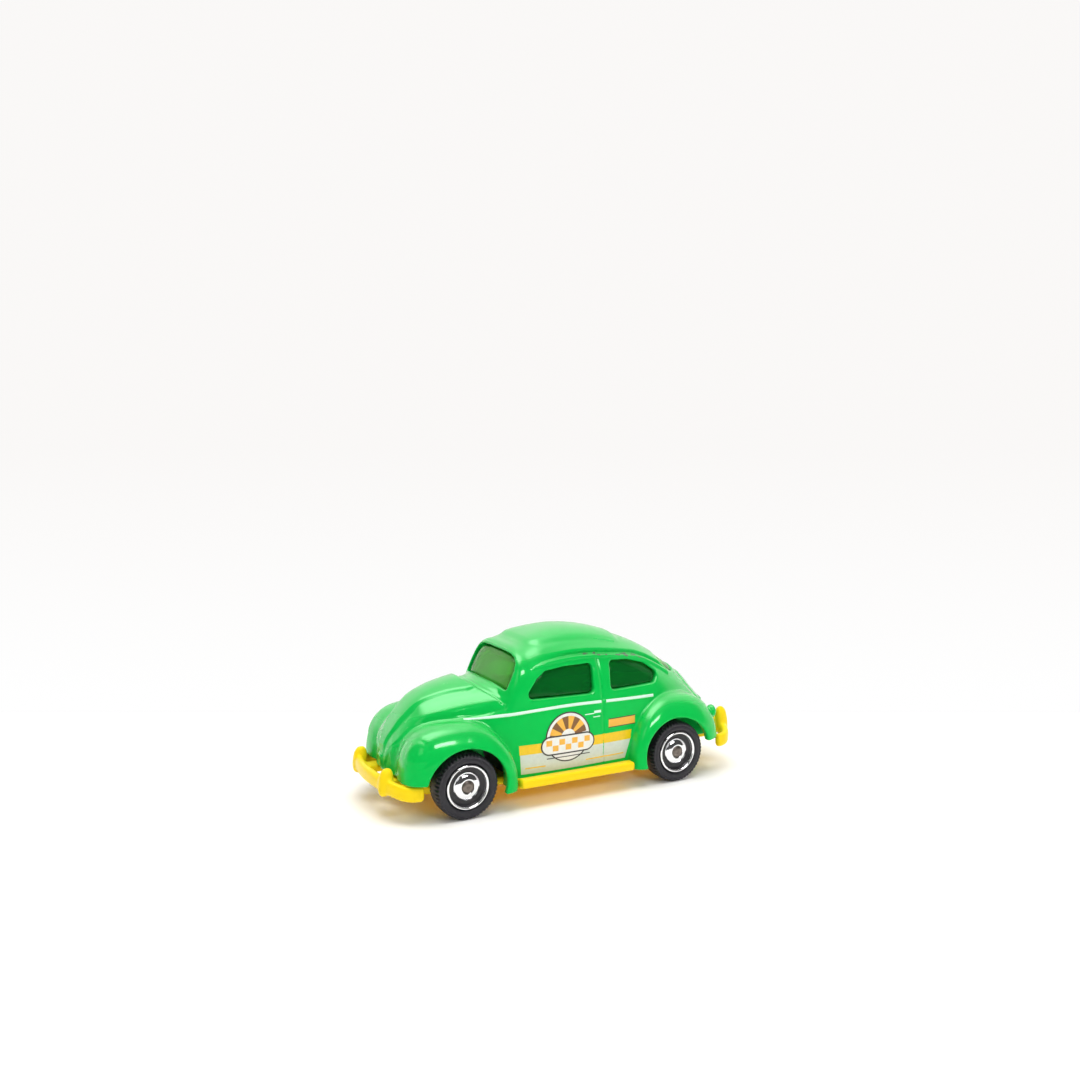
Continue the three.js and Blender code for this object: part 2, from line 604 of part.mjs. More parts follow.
// Body shell: skin, less the cabin, wheel wells, windows and axle slots, plus posts and bridges
function bodyShell() {
  const outside = join([
    hull(0, SILL_HEIGHT),
    ...wheels.map((wheel) => fender(wheel, 0)),
    ...panels,
    dripRail(1),
    dripRail(-1),
    ...lamps,
  ]);
  const wells = wheels.map((wheel) => {
    const half = block(
      ...(wheel.side > 0 ? [WELL_INNER_X, BEYOND] : [-BEYOND, -WELL_INNER_X]),
      -BEYOND, BEYOND, -BEYOND, BEYOND,
    );
    const arch = roundBar(1, X.clone().multiplyScalar(wheel.side * WELL_INNER_X),
      X.clone().multiplyScalar(wheel.side * BEYOND), 30)
      .scale([1, ARCH_REACH, ARCH_RISE]).translate([0, wheel.y, TYRE_RADIUS]);
    return fender(wheel, FENDER_WALL).intersect(half).add(arch);
  });
  const skirtCuts = [
    block(-BEYOND, BEYOND, -BEYOND, BEYOND, -BEYOND, FENDER_SKIRT),
    block(-BEYOND, BEYOND, -BEYOND, FRONT_AXLE_Y, -BEYOND, VALANCE_HEIGHT),
    block(-BEYOND, BEYOND, REAR_AXLE_Y, BEYOND, -BEYOND, VALANCE_HEIGHT),
    block(-WELL_INNER_X, WELL_INNER_X, -BEYOND, BEYOND, -BEYOND, SILL_HEIGHT),
  ];
  const hollow = cut(outside, [hull(BODY_WALL, -BEYOND), ...skirtCuts, ...wells, ...windowTools(0)]);
  const bridges = axles.map(({ y }) => {
    const half = Math.min(planLine(BODY_WALL / 2)(y), WELL_INNER_X);
    const [fore, aft] = [y - BRIDGE_LENGTH / 2, y + BRIDGE_LENGTH / 2];
    return block(-half, half, fore, aft, AXLE_TOP, AXLE_TOP + BRIDGE_HEIGHT);
  });
  const rivets = posts.flatMap((y) => {
    const foot = BASE_BOTTOM + RUNNING_FIT;
    const roof = centreLine(BODY_WALL / 2)(y);
    return [
      roundBar(POST_RADIUS, v3(0, y, foot), v3(0, y, roof), 16),
      roundBar(RIVET_RADIUS, v3(0, y, foot), v3(0, y, foot + RIVET_THICKNESS), 20),
    ];
  });
  const slots = axles.map(({ y }) => block(
    -WELL_INNER_X - 1, WELL_INNER_X + 1, y - AXLE_RADIUS - SEAT_FIT, y + AXLE_RADIUS + SEAT_FIT,
    0, AXLE_TOP,
  ));
  return cut(join([hollow, ...bridges, ...rivets]), slots);
}

// Window moulding: a thin dome under the roof with a pane standing into each opening
function windowInsert() {
  const domeOuter = BODY_WALL + SEAT_FIT;
  const domeInner = domeOuter + GLASS_THICKNESS;
  const cabin = block(
    -BEYOND, BEYOND, MID_Y - 14.2, REAR_POST_Y - POST_RADIUS - SEAT_FIT,
    BELT_HEIGHT - 1.0, BEYOND,
  );
  const inside = hull(domeInner, -BEYOND);
  const dome = hull(domeOuter, -BEYOND).subtract(inside).intersect(cabin);
  const slab = hull(GLASS_INSET, -BEYOND).subtract(inside);
  const panes = windowTools(SEAT_FIT).map((tool) => slab.intersect(tool));
  return join([dome, ...panes]);
}

// Seat tray: floor and low sides, dash with wheel, two front seats and a rear bench
function seatTray() {
  const floor = BASE_TOP + SEAT_FIT;
  const tray = floor + TRAY_WALL;
  const under = floor + TRAY_WALL / 2;
  const front = MID_Y - TRAY_FRONT;
  const rear = MID_Y + TRAY_REAR;
  const inner = TRAY_HALF_WIDTH - TRAY_WALL;
  const tub = block(-TRAY_HALF_WIDTH, TRAY_HALF_WIDTH, front, rear, floor, TRAY_SIDE);
  const hollow = block(-inner, inner, front + TRAY_WALL, rear - TRAY_WALL, tray, BEYOND);
  const chair = (fore, aft, top, lean) => roundedShape([
    v2(fore, under), v2(aft - lean, under), v2(aft, top), v2(aft - BACK_THICKNESS, top),
    v2(aft - BACK_THICKNESS - lean, tray + 0.85 * CUSHION_HEIGHT), v2(fore, tray + CUSHION_HEIGHT),
  ], BACK_THICKNESS / 2);
  const seat = chair(MID_Y - SEAT_FRONT, MID_Y + SEAT_REAR, SEAT_BACK, BACK_THICKNESS / 2);
  const benchRear = rear - TRAY_WALL / 2;
  const bench = chair(benchRear - BENCH_DEPTH, benchRear, SEAT_BACK - TRAY_WALL, 0);
  const dashTop = BELT_HEIGHT - DASH_DROP;
  const dash = roundedShape([
    v2(front, tray), v2(front + 0.8 * DASH_DEPTH, tray + CUSHION_HEIGHT),
    v2(front + DASH_DEPTH, dashTop - TRAY_WALL), v2(front + 0.7 * DASH_DEPTH, dashTop), v2(front, dashTop),
  ], TRAY_WALL);
  const origin = v3(0, 0, 0);
  const wheelAxis = v3(0, 0.8, 0.6);
  const wheelX = (SEAT_GAP + SEAT_WIDTH) / 2;
  const wheelCentre = v3(wheelX, front + STEERING_REACH, dashTop - TRAY_WALL);
  const ring = new THREE.TorusGeometry(STEERING_RADIUS, STEERING_RIM, 5, 16);
  ring.applyQuaternion(new THREE.Quaternion().setFromUnitVectors(Z, wheelAxis));
  ring.translate(...wheelCentre.toArray());
  const spoke = v3(STEERING_RADIUS, 0, 0);
  const columnFoot = wheelCentre.clone().addScaledVector(wheelAxis, -0.8 * STEERING_REACH);
  return join([
    tub.subtract(hollow),
    prism(seat, origin, Y, Z, SEAT_GAP / 2, SEAT_GAP / 2 + SEAT_WIDTH),
    prism(seat, origin, Y, Z, -SEAT_GAP / 2 - SEAT_WIDTH, -SEAT_GAP / 2),
    prism(bench, origin, Y, Z, -inner - TRAY_WALL / 2, inner + TRAY_WALL / 2),
    prism(dash, origin, Y, Z, -TRAY_HALF_WIDTH, TRAY_HALF_WIDTH),
    solid(ring),
    roundBar(STEERING_RIM, wheelCentre.clone().sub(spoke), wheelCentre.clone().add(spoke), 6),
    roundBar(STEERING_RIM, columnFoot, wheelCentre, 8),
  ]);
}

// Bumper: a bar bent round the end of the car, its ends drooping, on two arms, with overriders.
// Its bar's section is listed as shares of its half thickness and half height.
const BUMPER_STEPS = 12;
const BUMPER_BEND = 0.8;
const BUMPER_END_SHARE = 0.55;
const BUMPER_SECTION = [
  [-1, 0.6], [-0.3, 1], [0.5, 0.85], [1, 0], [0.5, -0.85], [-0.3, -1], [-1, -0.6],
];
function bumper(faceY, forward, height, wrap, shellEnd, overrider) {
  const halfHeight = BUMPER_HEIGHT / 2;
  const half = BUMPER_THICKNESS / 2;
  const barY = (across) => {
    const back = 1 - (1 - across ** 2) ** (BUMPER_BEND / 2);
    return faceY - forward * (half + wrap * back);
  };
  const rows = [];
  for (let i = 0; i <= BUMPER_STEPS; i += 1) {
    const turn = (i / BUMPER_STEPS - 0.5) * Math.PI;
    const across = Math.max(-1, Math.min(1, Math.sin(turn)));
    const out = v2(across ** 3, forward * Math.cos(turn) ** 0.5).normalize();
    const z = height - BUMPER_DROOP * Math.abs(across) ** 3;
    const isEnd = i === 0 || i === BUMPER_STEPS;
    const tall = halfHeight * (isEnd ? BUMPER_END_SHARE : 1);
    rows.push(BUMPER_SECTION.map(([depth, rise]) => v3(
      BUMPER_HALF_SPAN * across + out.x * half * (depth - 1),
      barY(across) + out.y * half * depth,
      z + rise * tall,
    )));
  }
  const armTop = VALANCE_HEIGHT - SEAT_FIT;
  const armBottom = armTop - BUMPER_ARM_HEIGHT;
  const armFoot = shellEnd - forward * BUMPER_ARM_ROOT;
  const armBend = shellEnd + forward * SEAT_FIT;
  const armShape = new THREE.Shape([
    v2(armFoot, armBottom), v2(armBend, armBottom), v2(barY(0), height - halfHeight * 0.7),
    v2(barY(0), height + halfHeight * 0.2), v2(armBend, armTop), v2(armFoot, armTop),
  ]);
  const arms = [1, -1].map((side) => prism(
    armShape, v3(side * BUMPER_ARM_X, 0, 0), Y, Z, -BUMPER_ARM_WIDTH / 2, BUMPER_ARM_WIDTH / 2,
  ));
  const overriders = [1, -1].map((side) => ellipsoid(
    [side * OVERRIDER_X, barY(OVERRIDER_X / BUMPER_HALF_SPAN), height + overrider.lift],
    [OVERRIDER_WIDTH / 2, BUMPER_THICKNESS * OVERRIDER_DEPTH, overrider.height / 2],
  ));
  return [skin(rows), ...arms, ...overriders];
}

// Base: floor plate with saddles for the axles, end upstands, running boards and bumpers
function basePlate() {
  const plateMiddle = BASE_BOTTOM + BASE_THICKNESS / 2;
  const frontEdge = NOSE_Y + BODY_WALL + SEAT_FIT;
  const rearEdge = TAIL_Y - BODY_WALL - SEAT_FIT;
  const boardFront = FRONT_AXLE_Y + FRONT_FENDER_TAIL + SEAT_FIT;
  const boardRear = REAR_AXLE_Y - REAR_FENDER_NOSE - SEAT_FIT;
  const outline = bothSides([
    v2(BASE_HALF_WIDTH - 3.2, frontEdge + 1.2),
    v2(BASE_HALF_WIDTH, FRONT_AXLE_Y - 3.0),
    v2(BASE_HALF_WIDTH, boardFront),
    v2(BOARD_HALF_WIDTH - 1.2, boardFront),
    v2(BOARD_HALF_WIDTH - 1.2, boardRear),
    v2(BASE_HALF_WIDTH, boardRear),
    v2(BASE_HALF_WIDTH, REAR_AXLE_Y + 3.0),
    v2(BASE_HALF_WIDTH - 3.2, rearEdge - 1.2),
  ]);
  const plate = prism(roundedShape(outline, 0.8), v3(0, 0, 0), X, Y, BASE_BOTTOM, BASE_TOP);
  const boardSection = [
    v2(BODY_HALF_WIDTH - 0.6, BOARD_BOTTOM), v2(BOARD_HALF_WIDTH - BOARD_BEVEL, BOARD_BOTTOM),
    v2(BOARD_HALF_WIDTH, BOARD_BOTTOM + BOARD_BEVEL), v2(BOARD_HALF_WIDTH, BOARD_TOP - BOARD_BEVEL),
    v2(BOARD_HALF_WIDTH - BOARD_BEVEL, BOARD_TOP), v2(BODY_HALF_WIDTH + SEAT_FIT, BOARD_TOP),
    v2(BODY_HALF_WIDTH + SEAT_FIT, BASE_TOP), v2(BODY_HALF_WIDTH - 0.6, BASE_TOP),
  ];
  const boards = [1, -1].map((side) => skin([boardFront, boardRear].map(
    (y) => boardSection.map((p) => v3(side * p.x, y, p.y)),
  )));
  const saddles = axles.flatMap(({ y }) => [1, -1].map((side) => block(
    side * SADDLE_X - SADDLE_WIDTH / 2, side * SADDLE_X + SADDLE_WIDTH / 2,
    y - SADDLE_LENGTH / 2, y + SADDLE_LENGTH / 2, plateMiddle, TYRE_RADIUS + AXLE_RADIUS / 2,
  )));
  const upstandTop = BASE_TOP + UPSTAND_HEIGHT;
  const upstands = [
    block(-BEYOND, BEYOND, -BEYOND, FRONT_POST_Y + RIVET_RADIUS, plateMiddle, upstandTop),
    block(-BEYOND, BEYOND, REAR_POST_Y - RIVET_RADIUS, BEYOND, plateMiddle, upstandTop),
  ].map((zone) => hull(BODY_WALL + SEAT_FIT, -BEYOND).intersect(zone));
  const grooves = axles.flatMap(({ y }) => {
    const clear = AXLE_RADIUS + RUNNING_FIT;
    return [
      roundBar(clear, v3(-WELL_INNER_X, y, TYRE_RADIUS), v3(WELL_INNER_X, y, TYRE_RADIUS), 16),
      block(-WELL_INNER_X, WELL_INNER_X, y - clear, y + clear, TYRE_RADIUS, TYRE_RADIUS + 2),
    ];
  });
  const rivetHoles = posts.flatMap((y) => [
    roundBar(POST_RADIUS + SEAT_FIT, v3(0, y, 0), v3(0, y, BEYOND), 16),
    roundBar(
      RIVET_RADIUS + SEAT_FIT, v3(0, y, 0),
      v3(0, y, BASE_BOTTOM + RIVET_THICKNESS + 2 * RUNNING_FIT), 20,
    ),
  ]);
  const whole = join([
    plate, ...boards, ...saddles, ...upstands,
    ...bumper(-LENGTH / 2, -1, FRONT_BUMPER_CENTRE, FRONT_BUMPER_WRAP, NOSE_Y, FRONT_OVERRIDER),
    ...bumper(LENGTH / 2, 1, REAR_BUMPER_CENTRE, REAR_BUMPER_WRAP, TAIL_Y, REAR_OVERRIDER),
  ]);
  return cut(whole, [...grooves, ...rivetHoles]);
}

// Tyre: a hoop whose two shoulders are notched all round, standing on a flat of its tread
function tyre(wheel) {
  const half = TYRE_WIDTH / 2;
  const columns = TREAD_BLOCKS * 2;
  const round = 1 / Math.cos(Math.PI / columns);
  const faceEdge = TYRE_RADIUS - SHOULDER_DROP - TREAD_DEPTH;
  const profile = [
    { r: TYRE_SEAT_RADIUS, x: -half }, { r: faceEdge, x: -half },
    { r: TYRE_RADIUS - SHOULDER_DROP, x: -half + 0.15, notched: true },
    { r: TYRE_RADIUS, x: -half + SHOULDER_WIDTH }, { r: TYRE_RADIUS, x: half - SHOULDER_WIDTH },
    { r: TYRE_RADIUS - SHOULDER_DROP, x: half - 0.15, notched: true },
    { r: faceEdge, x: half }, { r: TYRE_SEAT_RADIUS, x: half },
  ];
  const rows = profile.map(({ r, x, notched }) => Array.from({ length: columns }, (_, k) => {
    const turn = ((k + 0.5) / columns) * Math.PI * 2;
    const radius = (notched && k % 2 ? r - TREAD_DEPTH : r) * round;
    const centre = wheel.side * (WHEEL_FACE_X - half);
    return v3(centre + x, wheel.y + radius * Math.cos(turn), TYRE_RADIUS + radius * Math.sin(turn));
  }));
  return skin(rows, true);
}

const HUB_SIDES = 14;
// Hub: bright lip, dark dish and bright cone, turned about the axle, with a boss behind
function hub(wheel) {
  const rim = TYRE_SEAT_RADIUS - RUNNING_FIT;
  const bore = AXLE_RADIUS + RUNNING_FIT;
  const pocket = AXLE_HEAD_RADIUS + RUNNING_FIT;
  const pocketDepth = AXLE_HEAD_LENGTH + 2 * RUNNING_FIT;
  const bossDepth = TYRE_WIDTH + WELL_FIT - RUNNING_FIT;
  const profile = [
    [bore, bossDepth], [HUB_BOSS_RADIUS, bossDepth], [HUB_BOSS_RADIUS, TYRE_WIDTH], [rim, TYRE_WIDTH],
    [rim, 0.1], [rim - 0.12, 0], [rim - RIM_LIP_WIDTH, 0.05], [rim - RIM_LIP_WIDTH - 0.1, HUB_DISH_DEPTH],
    [HUB_CONE_RADIUS, HUB_DISH_DEPTH], [HUB_NOSE_RADIUS, 0.2], [pocket, 0.2], [pocket, pocketDepth],
    [bore, pocketDepth],
  ].map(([r, depth]) => v2(r, -depth));
  const geometry = new THREE.LatheGeometry([...profile, profile[0].clone()], HUB_SIDES);
  geometry.rotateZ(-wheel.side * Math.PI / 2);
  geometry.translate(wheel.side * WHEEL_FACE_X, wheel.y, TYRE_RADIUS);
  const body = solid(geometry);
  if (body.volume() > 0) return body;
  const flipped = geometry.toNonIndexed();
  const p = flipped.attributes.position;
  for (let i = 0; i < p.count; i += 3) {
    const [b, c] = [v3().fromBufferAttribute(p, i + 1), v3().fromBufferAttribute(p, i + 2)];
    p.setXYZ(i + 1, c.x, c.y, c.z);
    p.setXYZ(i + 2, b.x, b.y, b.z);
  }
  return solid(flipped);
}

// Axle: a straight steel pin, headed at both ends inside the hubs
function axle({ y }) {
  const headInner = WHEEL_FACE_X - AXLE_HEAD_LENGTH - RUNNING_FIT;
  const at = (x) => v3(x, y, TYRE_RADIUS);
  return join([
    roundBar(AXLE_RADIUS, at(-headInner - 0.1), at(headInner + 0.1), 16),
    ...[1, -1].map((side) => roundBar(
      AXLE_HEAD_RADIUS, at(side * headInner), at(side * (headInner + AXLE_HEAD_LENGTH)), 16,
    )),
  ]);
}

const group = new THREE.Group();
function place(name, body, color, roughness, metalness) {
  const material = new THREE.MeshStandardMaterial({ color, roughness, metalness });
  const mesh = new THREE.Mesh(geometryOf(body), material);
  mesh.name = name;
  group.add(mesh);
}
place('body_shell', bodyShell(), 0x12c64f, 0.35, 0.1);
place('window_insert', windowInsert(), 0x2f7a3a, 0.08, 0);
place('seat_tray', seatTray(), 0x2c2f2c, 0.5, 0);
place('base_plate', basePlate(), 0xffe838, 0.4, 0);
axles.forEach((one) => place(one.name, axle(one), 0x6b655e, 0.35, 1));
wheels.forEach((wheel) => {
  place(`tyre_${wheel.name}`, tyre(wheel), 0x2b2930, 0.55, 0);
  place(`hub_${wheel.name}`, hub(wheel), 0xd9dade, 0.15, 1);
});

export default group;
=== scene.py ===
# A die-cast toy car on a white sheet: a rounded two-door saloon with a painted metal shell over a
# plastic base, tinted windows and free-running wheels. Shapes are worked out in millimetres in the
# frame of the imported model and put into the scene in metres.
import math

import bmesh
import bpy
import numpy as np
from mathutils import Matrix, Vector


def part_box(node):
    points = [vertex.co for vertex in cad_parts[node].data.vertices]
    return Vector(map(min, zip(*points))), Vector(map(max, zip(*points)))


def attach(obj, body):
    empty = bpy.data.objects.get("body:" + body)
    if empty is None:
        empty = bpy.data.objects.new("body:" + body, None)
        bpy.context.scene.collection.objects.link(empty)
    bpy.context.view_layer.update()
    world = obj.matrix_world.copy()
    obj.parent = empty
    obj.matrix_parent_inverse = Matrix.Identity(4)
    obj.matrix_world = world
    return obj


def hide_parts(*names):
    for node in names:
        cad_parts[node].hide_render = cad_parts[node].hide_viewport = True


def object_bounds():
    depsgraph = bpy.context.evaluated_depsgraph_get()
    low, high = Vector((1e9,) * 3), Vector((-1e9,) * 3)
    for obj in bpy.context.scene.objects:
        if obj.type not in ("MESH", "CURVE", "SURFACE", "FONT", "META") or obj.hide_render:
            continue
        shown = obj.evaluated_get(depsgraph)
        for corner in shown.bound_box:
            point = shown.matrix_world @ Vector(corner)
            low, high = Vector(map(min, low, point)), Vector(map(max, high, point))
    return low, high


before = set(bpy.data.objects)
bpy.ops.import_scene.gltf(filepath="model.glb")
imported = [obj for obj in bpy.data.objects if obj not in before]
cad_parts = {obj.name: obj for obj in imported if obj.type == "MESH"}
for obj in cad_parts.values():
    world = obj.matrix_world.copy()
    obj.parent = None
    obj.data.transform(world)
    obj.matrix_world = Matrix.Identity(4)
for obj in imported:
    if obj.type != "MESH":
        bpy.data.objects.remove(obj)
cad_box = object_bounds()
MM = 0.001

# Studio: the toy stands on a white sheet that runs to a pale wall close behind it, under one wide
# soft lamp overhead, a paler one from the camera's left and two strip lamps that draw the streaks on
# the fenders. The camera is a short tele at car height.
CAMERA_AT = Vector((160.16, -85.38, 61.14)) * MM
CAMERA_AZIMUTH = math.radians(62.47)
CAMERA_PITCH = math.radians(5.32)
FOCAL_PIXELS = 1006.93
FRAME_PIXELS = 1080.0
WALL_BEHIND = 45.0 * MM
STAGE_HALF = 1.5
FLOOR_WHITE = (0.98, 0.975, 0.97, 1.0)
WALL_WHITE = (0.955, 0.94, 0.93, 1.0)
WALL_FADE = (5.0 * MM, 60.0 * MM, 0.0, 1.0)
PAPER_GRAIN, PAPER_SHADE = 900.0, 0.985
AIR_LIGHT, AIR_MIRRORED = 0.29, 0.07

scene = bpy.context.scene
scene.view_settings.view_transform = "Standard"
camera_data = bpy.data.cameras.new("camera")
camera_data.sensor_width = 36.0
camera_data.lens = camera_data.sensor_width * FOCAL_PIXELS / FRAME_PIXELS
camera_data.clip_start = 0.005
camera = bpy.data.objects.new("camera", camera_data)
scene.collection.objects.link(camera)
look = Vector((
    -math.sin(CAMERA_AZIMUTH) * math.cos(CAMERA_PITCH),
    math.cos(CAMERA_AZIMUTH) * math.cos(CAMERA_PITCH),
    -math.sin(CAMERA_PITCH),
))
camera.location = CAMERA_AT
camera.rotation_euler = look.to_track_quat("-Z", "Y").to_euler()
scene.camera = camera


def feed(tree, node, inputs):
    """Puts constants on a node's inputs, or links the outputs of other nodes to them."""
    for socket, value in inputs.items():
        if isinstance(value, bpy.types.NodeSocket):
            tree.links.new(value, node.inputs[socket])
        else:
            node.inputs[socket].default_value = value
    return node


def add_node(tree, kind, inputs):
    """A new shader node with its inputs fed."""
    return feed(tree, tree.nodes.new("ShaderNode" + kind), inputs)


def ranged(tree, value, span):
    """A value mapped from the first two numbers of a span to its last two."""
    ends = zip(("From Min", "From Max", "To Min", "To Max"), span)
    return add_node(tree, "MapRange", {"Value": value, **dict(ends)}).outputs["Result"]


def studio_surface(name, corners, colour):
    """A flat stage sheet of faintly grained paper, seen from its front only."""
    mesh = bpy.data.meshes.new(name)
    mesh.from_pydata(corners, [], [tuple(range(len(corners)))])
    sheet = bpy.data.objects.new(name, mesh)
    scene.collection.objects.link(sheet)
    paper = bpy.data.materials.new(name)
    paper.use_nodes = True
    tree = paper.node_tree
    grain = add_node(tree, "TexNoise", {"Scale": PAPER_GRAIN})
    tone = add_node(tree, "MixRGB", {
        "Fac": grain.outputs["Fac"], "Color1": colour,
        "Color2": (*(c * PAPER_SHADE for c in colour[:3]), 1.0),
    })
    shader = feed(tree, tree.nodes["Principled BSDF"], {
        "Base Color": tone.outputs["Color"], "Roughness": 0.9, "Specular IOR Level": 0.1,
    })
    one_sided = add_node(tree, "MixShader", {
        "Fac": add_node(tree, "NewGeometry", {}).outputs["Backfacing"],
        1: shader.outputs[0], 2: add_node(tree, "BsdfTransparent", {}).outputs[0],
    })
    one_sided.name = "one_sided"
    feed(tree, tree.nodes["Material Output"], {"Surface": one_sided.outputs[0]})
    sheet.data.materials.append(paper)
    return tree


studio_surface("floor", [
    (-STAGE_HALF, -STAGE_HALF, 0), (STAGE_HALF, -STAGE_HALF, 0),
    (STAGE_HALF, STAGE_HALF, 0), (-STAGE_HALF, STAGE_HALF, 0),
], FLOOR_WHITE)
level = Vector((look.x, look.y, 0)).normalized()
aside = Vector((-level.y, level.x, 0))
foot = level * WALL_BEHIND
wall = studio_surface("wall", [
    foot + aside * STAGE_HALF, foot - aside * STAGE_HALF,
    foot - aside * STAGE_HALF + Vector((0, 0, 1)), foot + aside * STAGE_HALF + Vector((0, 0, 1)),
], WALL_WHITE)
height = add_node(wall, "SeparateXYZ", {"Vector": add_node(wall, "TexCoord", {}).outputs["Object"]})
fade = add_node(wall, "MixRGB", {
    "Fac": ranged(wall, height.outputs["Z"], WALL_FADE), "Color1": (1.0, 1.0, 1.0, 1.0), "Color2": WALL_WHITE,
})
glow = add_node(wall, "Emission", {"Color": fade.outputs["Color"]})
wall_ray = add_node(wall, "LightPath", {})
either = add_node(wall, "Math", {
    0: wall_ray.outputs["Is Camera Ray"], 1: wall_ray.outputs["Is Transmission Ray"],
})
either.operation = "MAXIMUM"
shown = add_node(wall, "MixShader", {
    "Fac": either.outputs[0], 1: wall.nodes["Principled BSDF"].outputs[0], 2: glow.outputs[0],
})
feed(wall, wall.nodes["one_sided"], {1: shown.outputs[0]})

world = bpy.data.worlds.new("studio_air")
world.use_nodes = True
air = world.node_tree
mirrored_ray = add_node(air, "LightPath", {}).outputs["Is Glossy Ray"]
feed(air, air.nodes["Background"], {
    "Color": (1.0, 0.995, 0.985, 1.0), "Strength": ranged(air, mirrored_ray, (0.0, 1.0, AIR_LIGHT, AIR_MIRRORED)),
})
scene.world = world


def soft_lamp(name, at, towards, size, watts, colour):
    """A rectangular soft box."""
    data = bpy.data.lights.new(name, "AREA")
    data.shape = "RECTANGLE"
    data.size, data.size_y = size
    data.energy = watts
    data.color = colour
    lamp = bpy.data.objects.new(name, data)
    lamp.location = at
    lamp.rotation_euler = (Vector(towards) - Vector(at)).to_track_quat("-Z", "Y").to_euler()
    scene.collection.objects.link(lamp)


soft_lamp("overhead_lamp", (0.02, -0.06, 0.50), (0, 0, 0.01), (0.45, 0.35), 2.5, (1.0, 0.99, 0.97))
soft_lamp("side_lamp", (0.45, -0.40, 0.35), (0, 0, 0.015), (0.25, 0.25), 0.15, (1.0, 1.0, 1.0))
soft_lamp("left_strip", (0.46, 0.05, 0.29), (0, 0, 0.012), (0.22, 0.085), 0.62, (1.0, 1.0, 1.0))
soft_lamp("rear_strip", (0.13, 0.52, 0.22), (0, 0, 0.012), (0.12, 0.05), 0.35, (1.0, 1.0, 1.0))

# Body shell: one zinc casting, sprayed gloss green. Roof, hood, engine lid, fenders, lamps, drip rails
# and rivet posts come out of the same die. The windows and wheel arches are open, with edges rounded
# by the paint, which is rubbed through on the rivet heads and the tops of the drip rails. The dark grey
# laid in patches along the gutters above the rails is painted shade in the recess.
front_y, rear_y = (float(sum(corner[1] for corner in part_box(axle))) / 2 / MM
                   for axle in ("front_axle", "rear_axle"))
axle_z = float(sum(corner[2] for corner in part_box("front_axle"))) / 2 / MM
mid_y = (front_y + rear_y) / 2
nose_y, tail_y = front_y - 10.6, rear_y + 12.8
BODY_WALL, HALF_WIDTH, ROOF, COWL = 1.2, 10.7, 28.7, 20.7
WAIST, SILL, SILL_TUCK, VALANCE, NOSE_LIP = 11.5, 4.9, 0.35, 6.6, 9.0
FENDER_WALL, FENDER_OUT, FENDER_CROWN, FENDER_IN = 1.3, 13.35, 8.6, 2.6
FENDER_CENTRE, FENDER_SKIRT = 4.6, 3.4
WELL_INNER, ARCH_REACH, ARCH_RISE = 8.3, 7.0, 6.35


def along_car(points, samples=400):
    """Smooth curve through (y, value) points: the y and value of dense samples on it."""
    knots = np.array(points, float)
    last = len(knots) - 1
    t = np.linspace(0, last, samples + 1)
    i = np.minimum(t.astype(int), last - 1)
    w = (t - i)[:, None]
    before, start = knots[np.maximum(i - 1, 0)], knots[i]
    end, after = knots[i + 1], knots[np.minimum(i + 2, last)]
    pull, push = (end - before) / 2, (after - start) / 2
    curve = ((2 * start - 2 * end + pull + push) * w ** 3
             + (3 * end - 3 * start - 2 * pull - push) * w ** 2 + pull * w + start)
    return curve[:, 0], curve[:, 1]


centre_line = along_car([
    (nose_y, NOSE_LIP), (nose_y + 0.5, NOSE_LIP + 2.4), (nose_y + 2.2, COWL - 6.1), (nose_y + 5.2, COWL - 3.0),
    (front_y - 1.5, COWL - 1.1), (front_y + 3.2, COWL - 0.1), (mid_y - 13.6, COWL), (mid_y - 12.4, COWL + 0.5),
    (mid_y - 9.9, COWL + 5.2), (mid_y - 7.6, ROOF - 1.85), (mid_y - 3.8, ROOF - 0.6), (mid_y + 2.0, ROOF),
    (mid_y + 8.5, ROOF - 0.85), (mid_y + 15.5, ROOF - 3.15), (rear_y, ROOF - 5.75), (rear_y + 5.2, ROOF - 9.35),
    (rear_y + 9.2, ROOF - 13.55), (tail_y - 1.2, NOSE_LIP + 3.0), (tail_y, NOSE_LIP - 0.5),
])
plan_line = along_car([
    (nose_y, 1.6), (nose_y + 0.5, 4.4), (nose_y + 3.2, HALF_WIDTH - 4.2), (front_y - 3.4, HALF_WIDTH - 3.2),
    (front_y + 2.0, HALF_WIDTH - 2.0), (mid_y - 13.0, HALF_WIDTH - 0.8), (mid_y - 6.0, HALF_WIDTH - 0.1),
    (mid_y + 2.0, HALF_WIDTH), (mid_y + 12.0, HALF_WIDTH - 0.5), (rear_y, HALF_WIDTH - 1.7),
    (rear_y + 6.0, HALF_WIDTH - 3.7), (tail_y - 2.4, HALF_WIDTH - 6.1), (tail_y - 0.5, 2.2), (tail_y, 0.6),
])
squareness = along_car([
    (nose_y, 2.0), (front_y + 2.0, 2.1), (mid_y - 14.0, 2.7), (mid_y - 10.5, 4.0), (mid_y - 6.0, 3.4),
    (mid_y + 1.0, 2.7), (rear_y, 2.3), (tail_y, 2.0),
])


def ends_of(line):
    """Where a curve that swells to its middle first and last reaches a value: two curves of value and y."""
    y, value = line
    peak = int(np.argmax(value))
    front = np.maximum.accumulate(value[:peak + 1]), y[:peak + 1]
    back = np.maximum.accumulate(value[:peak - 1:-1]), y[:peak - 1:-1]
    return front, back


(front_width, back_width), (front_top, back_top) = ends_of(plan_line), ends_of(centre_line)


def hull_section(y, z, inset):
    """Half width, waist, top and squareness of the hull's section at y, drawn in by an inset."""
    top = np.interp(y, *centre_line) - inset
    waist = np.minimum(WAIST, top - 0.3)
    low = np.clip((waist - z) / (waist - SILL), 0, 1.5)
    half = np.maximum(np.interp(y, *plan_line) - inset - SILL_TUCK * low ** 2, 0.15)
    return half, waist, top, np.interp(y, *squareness)


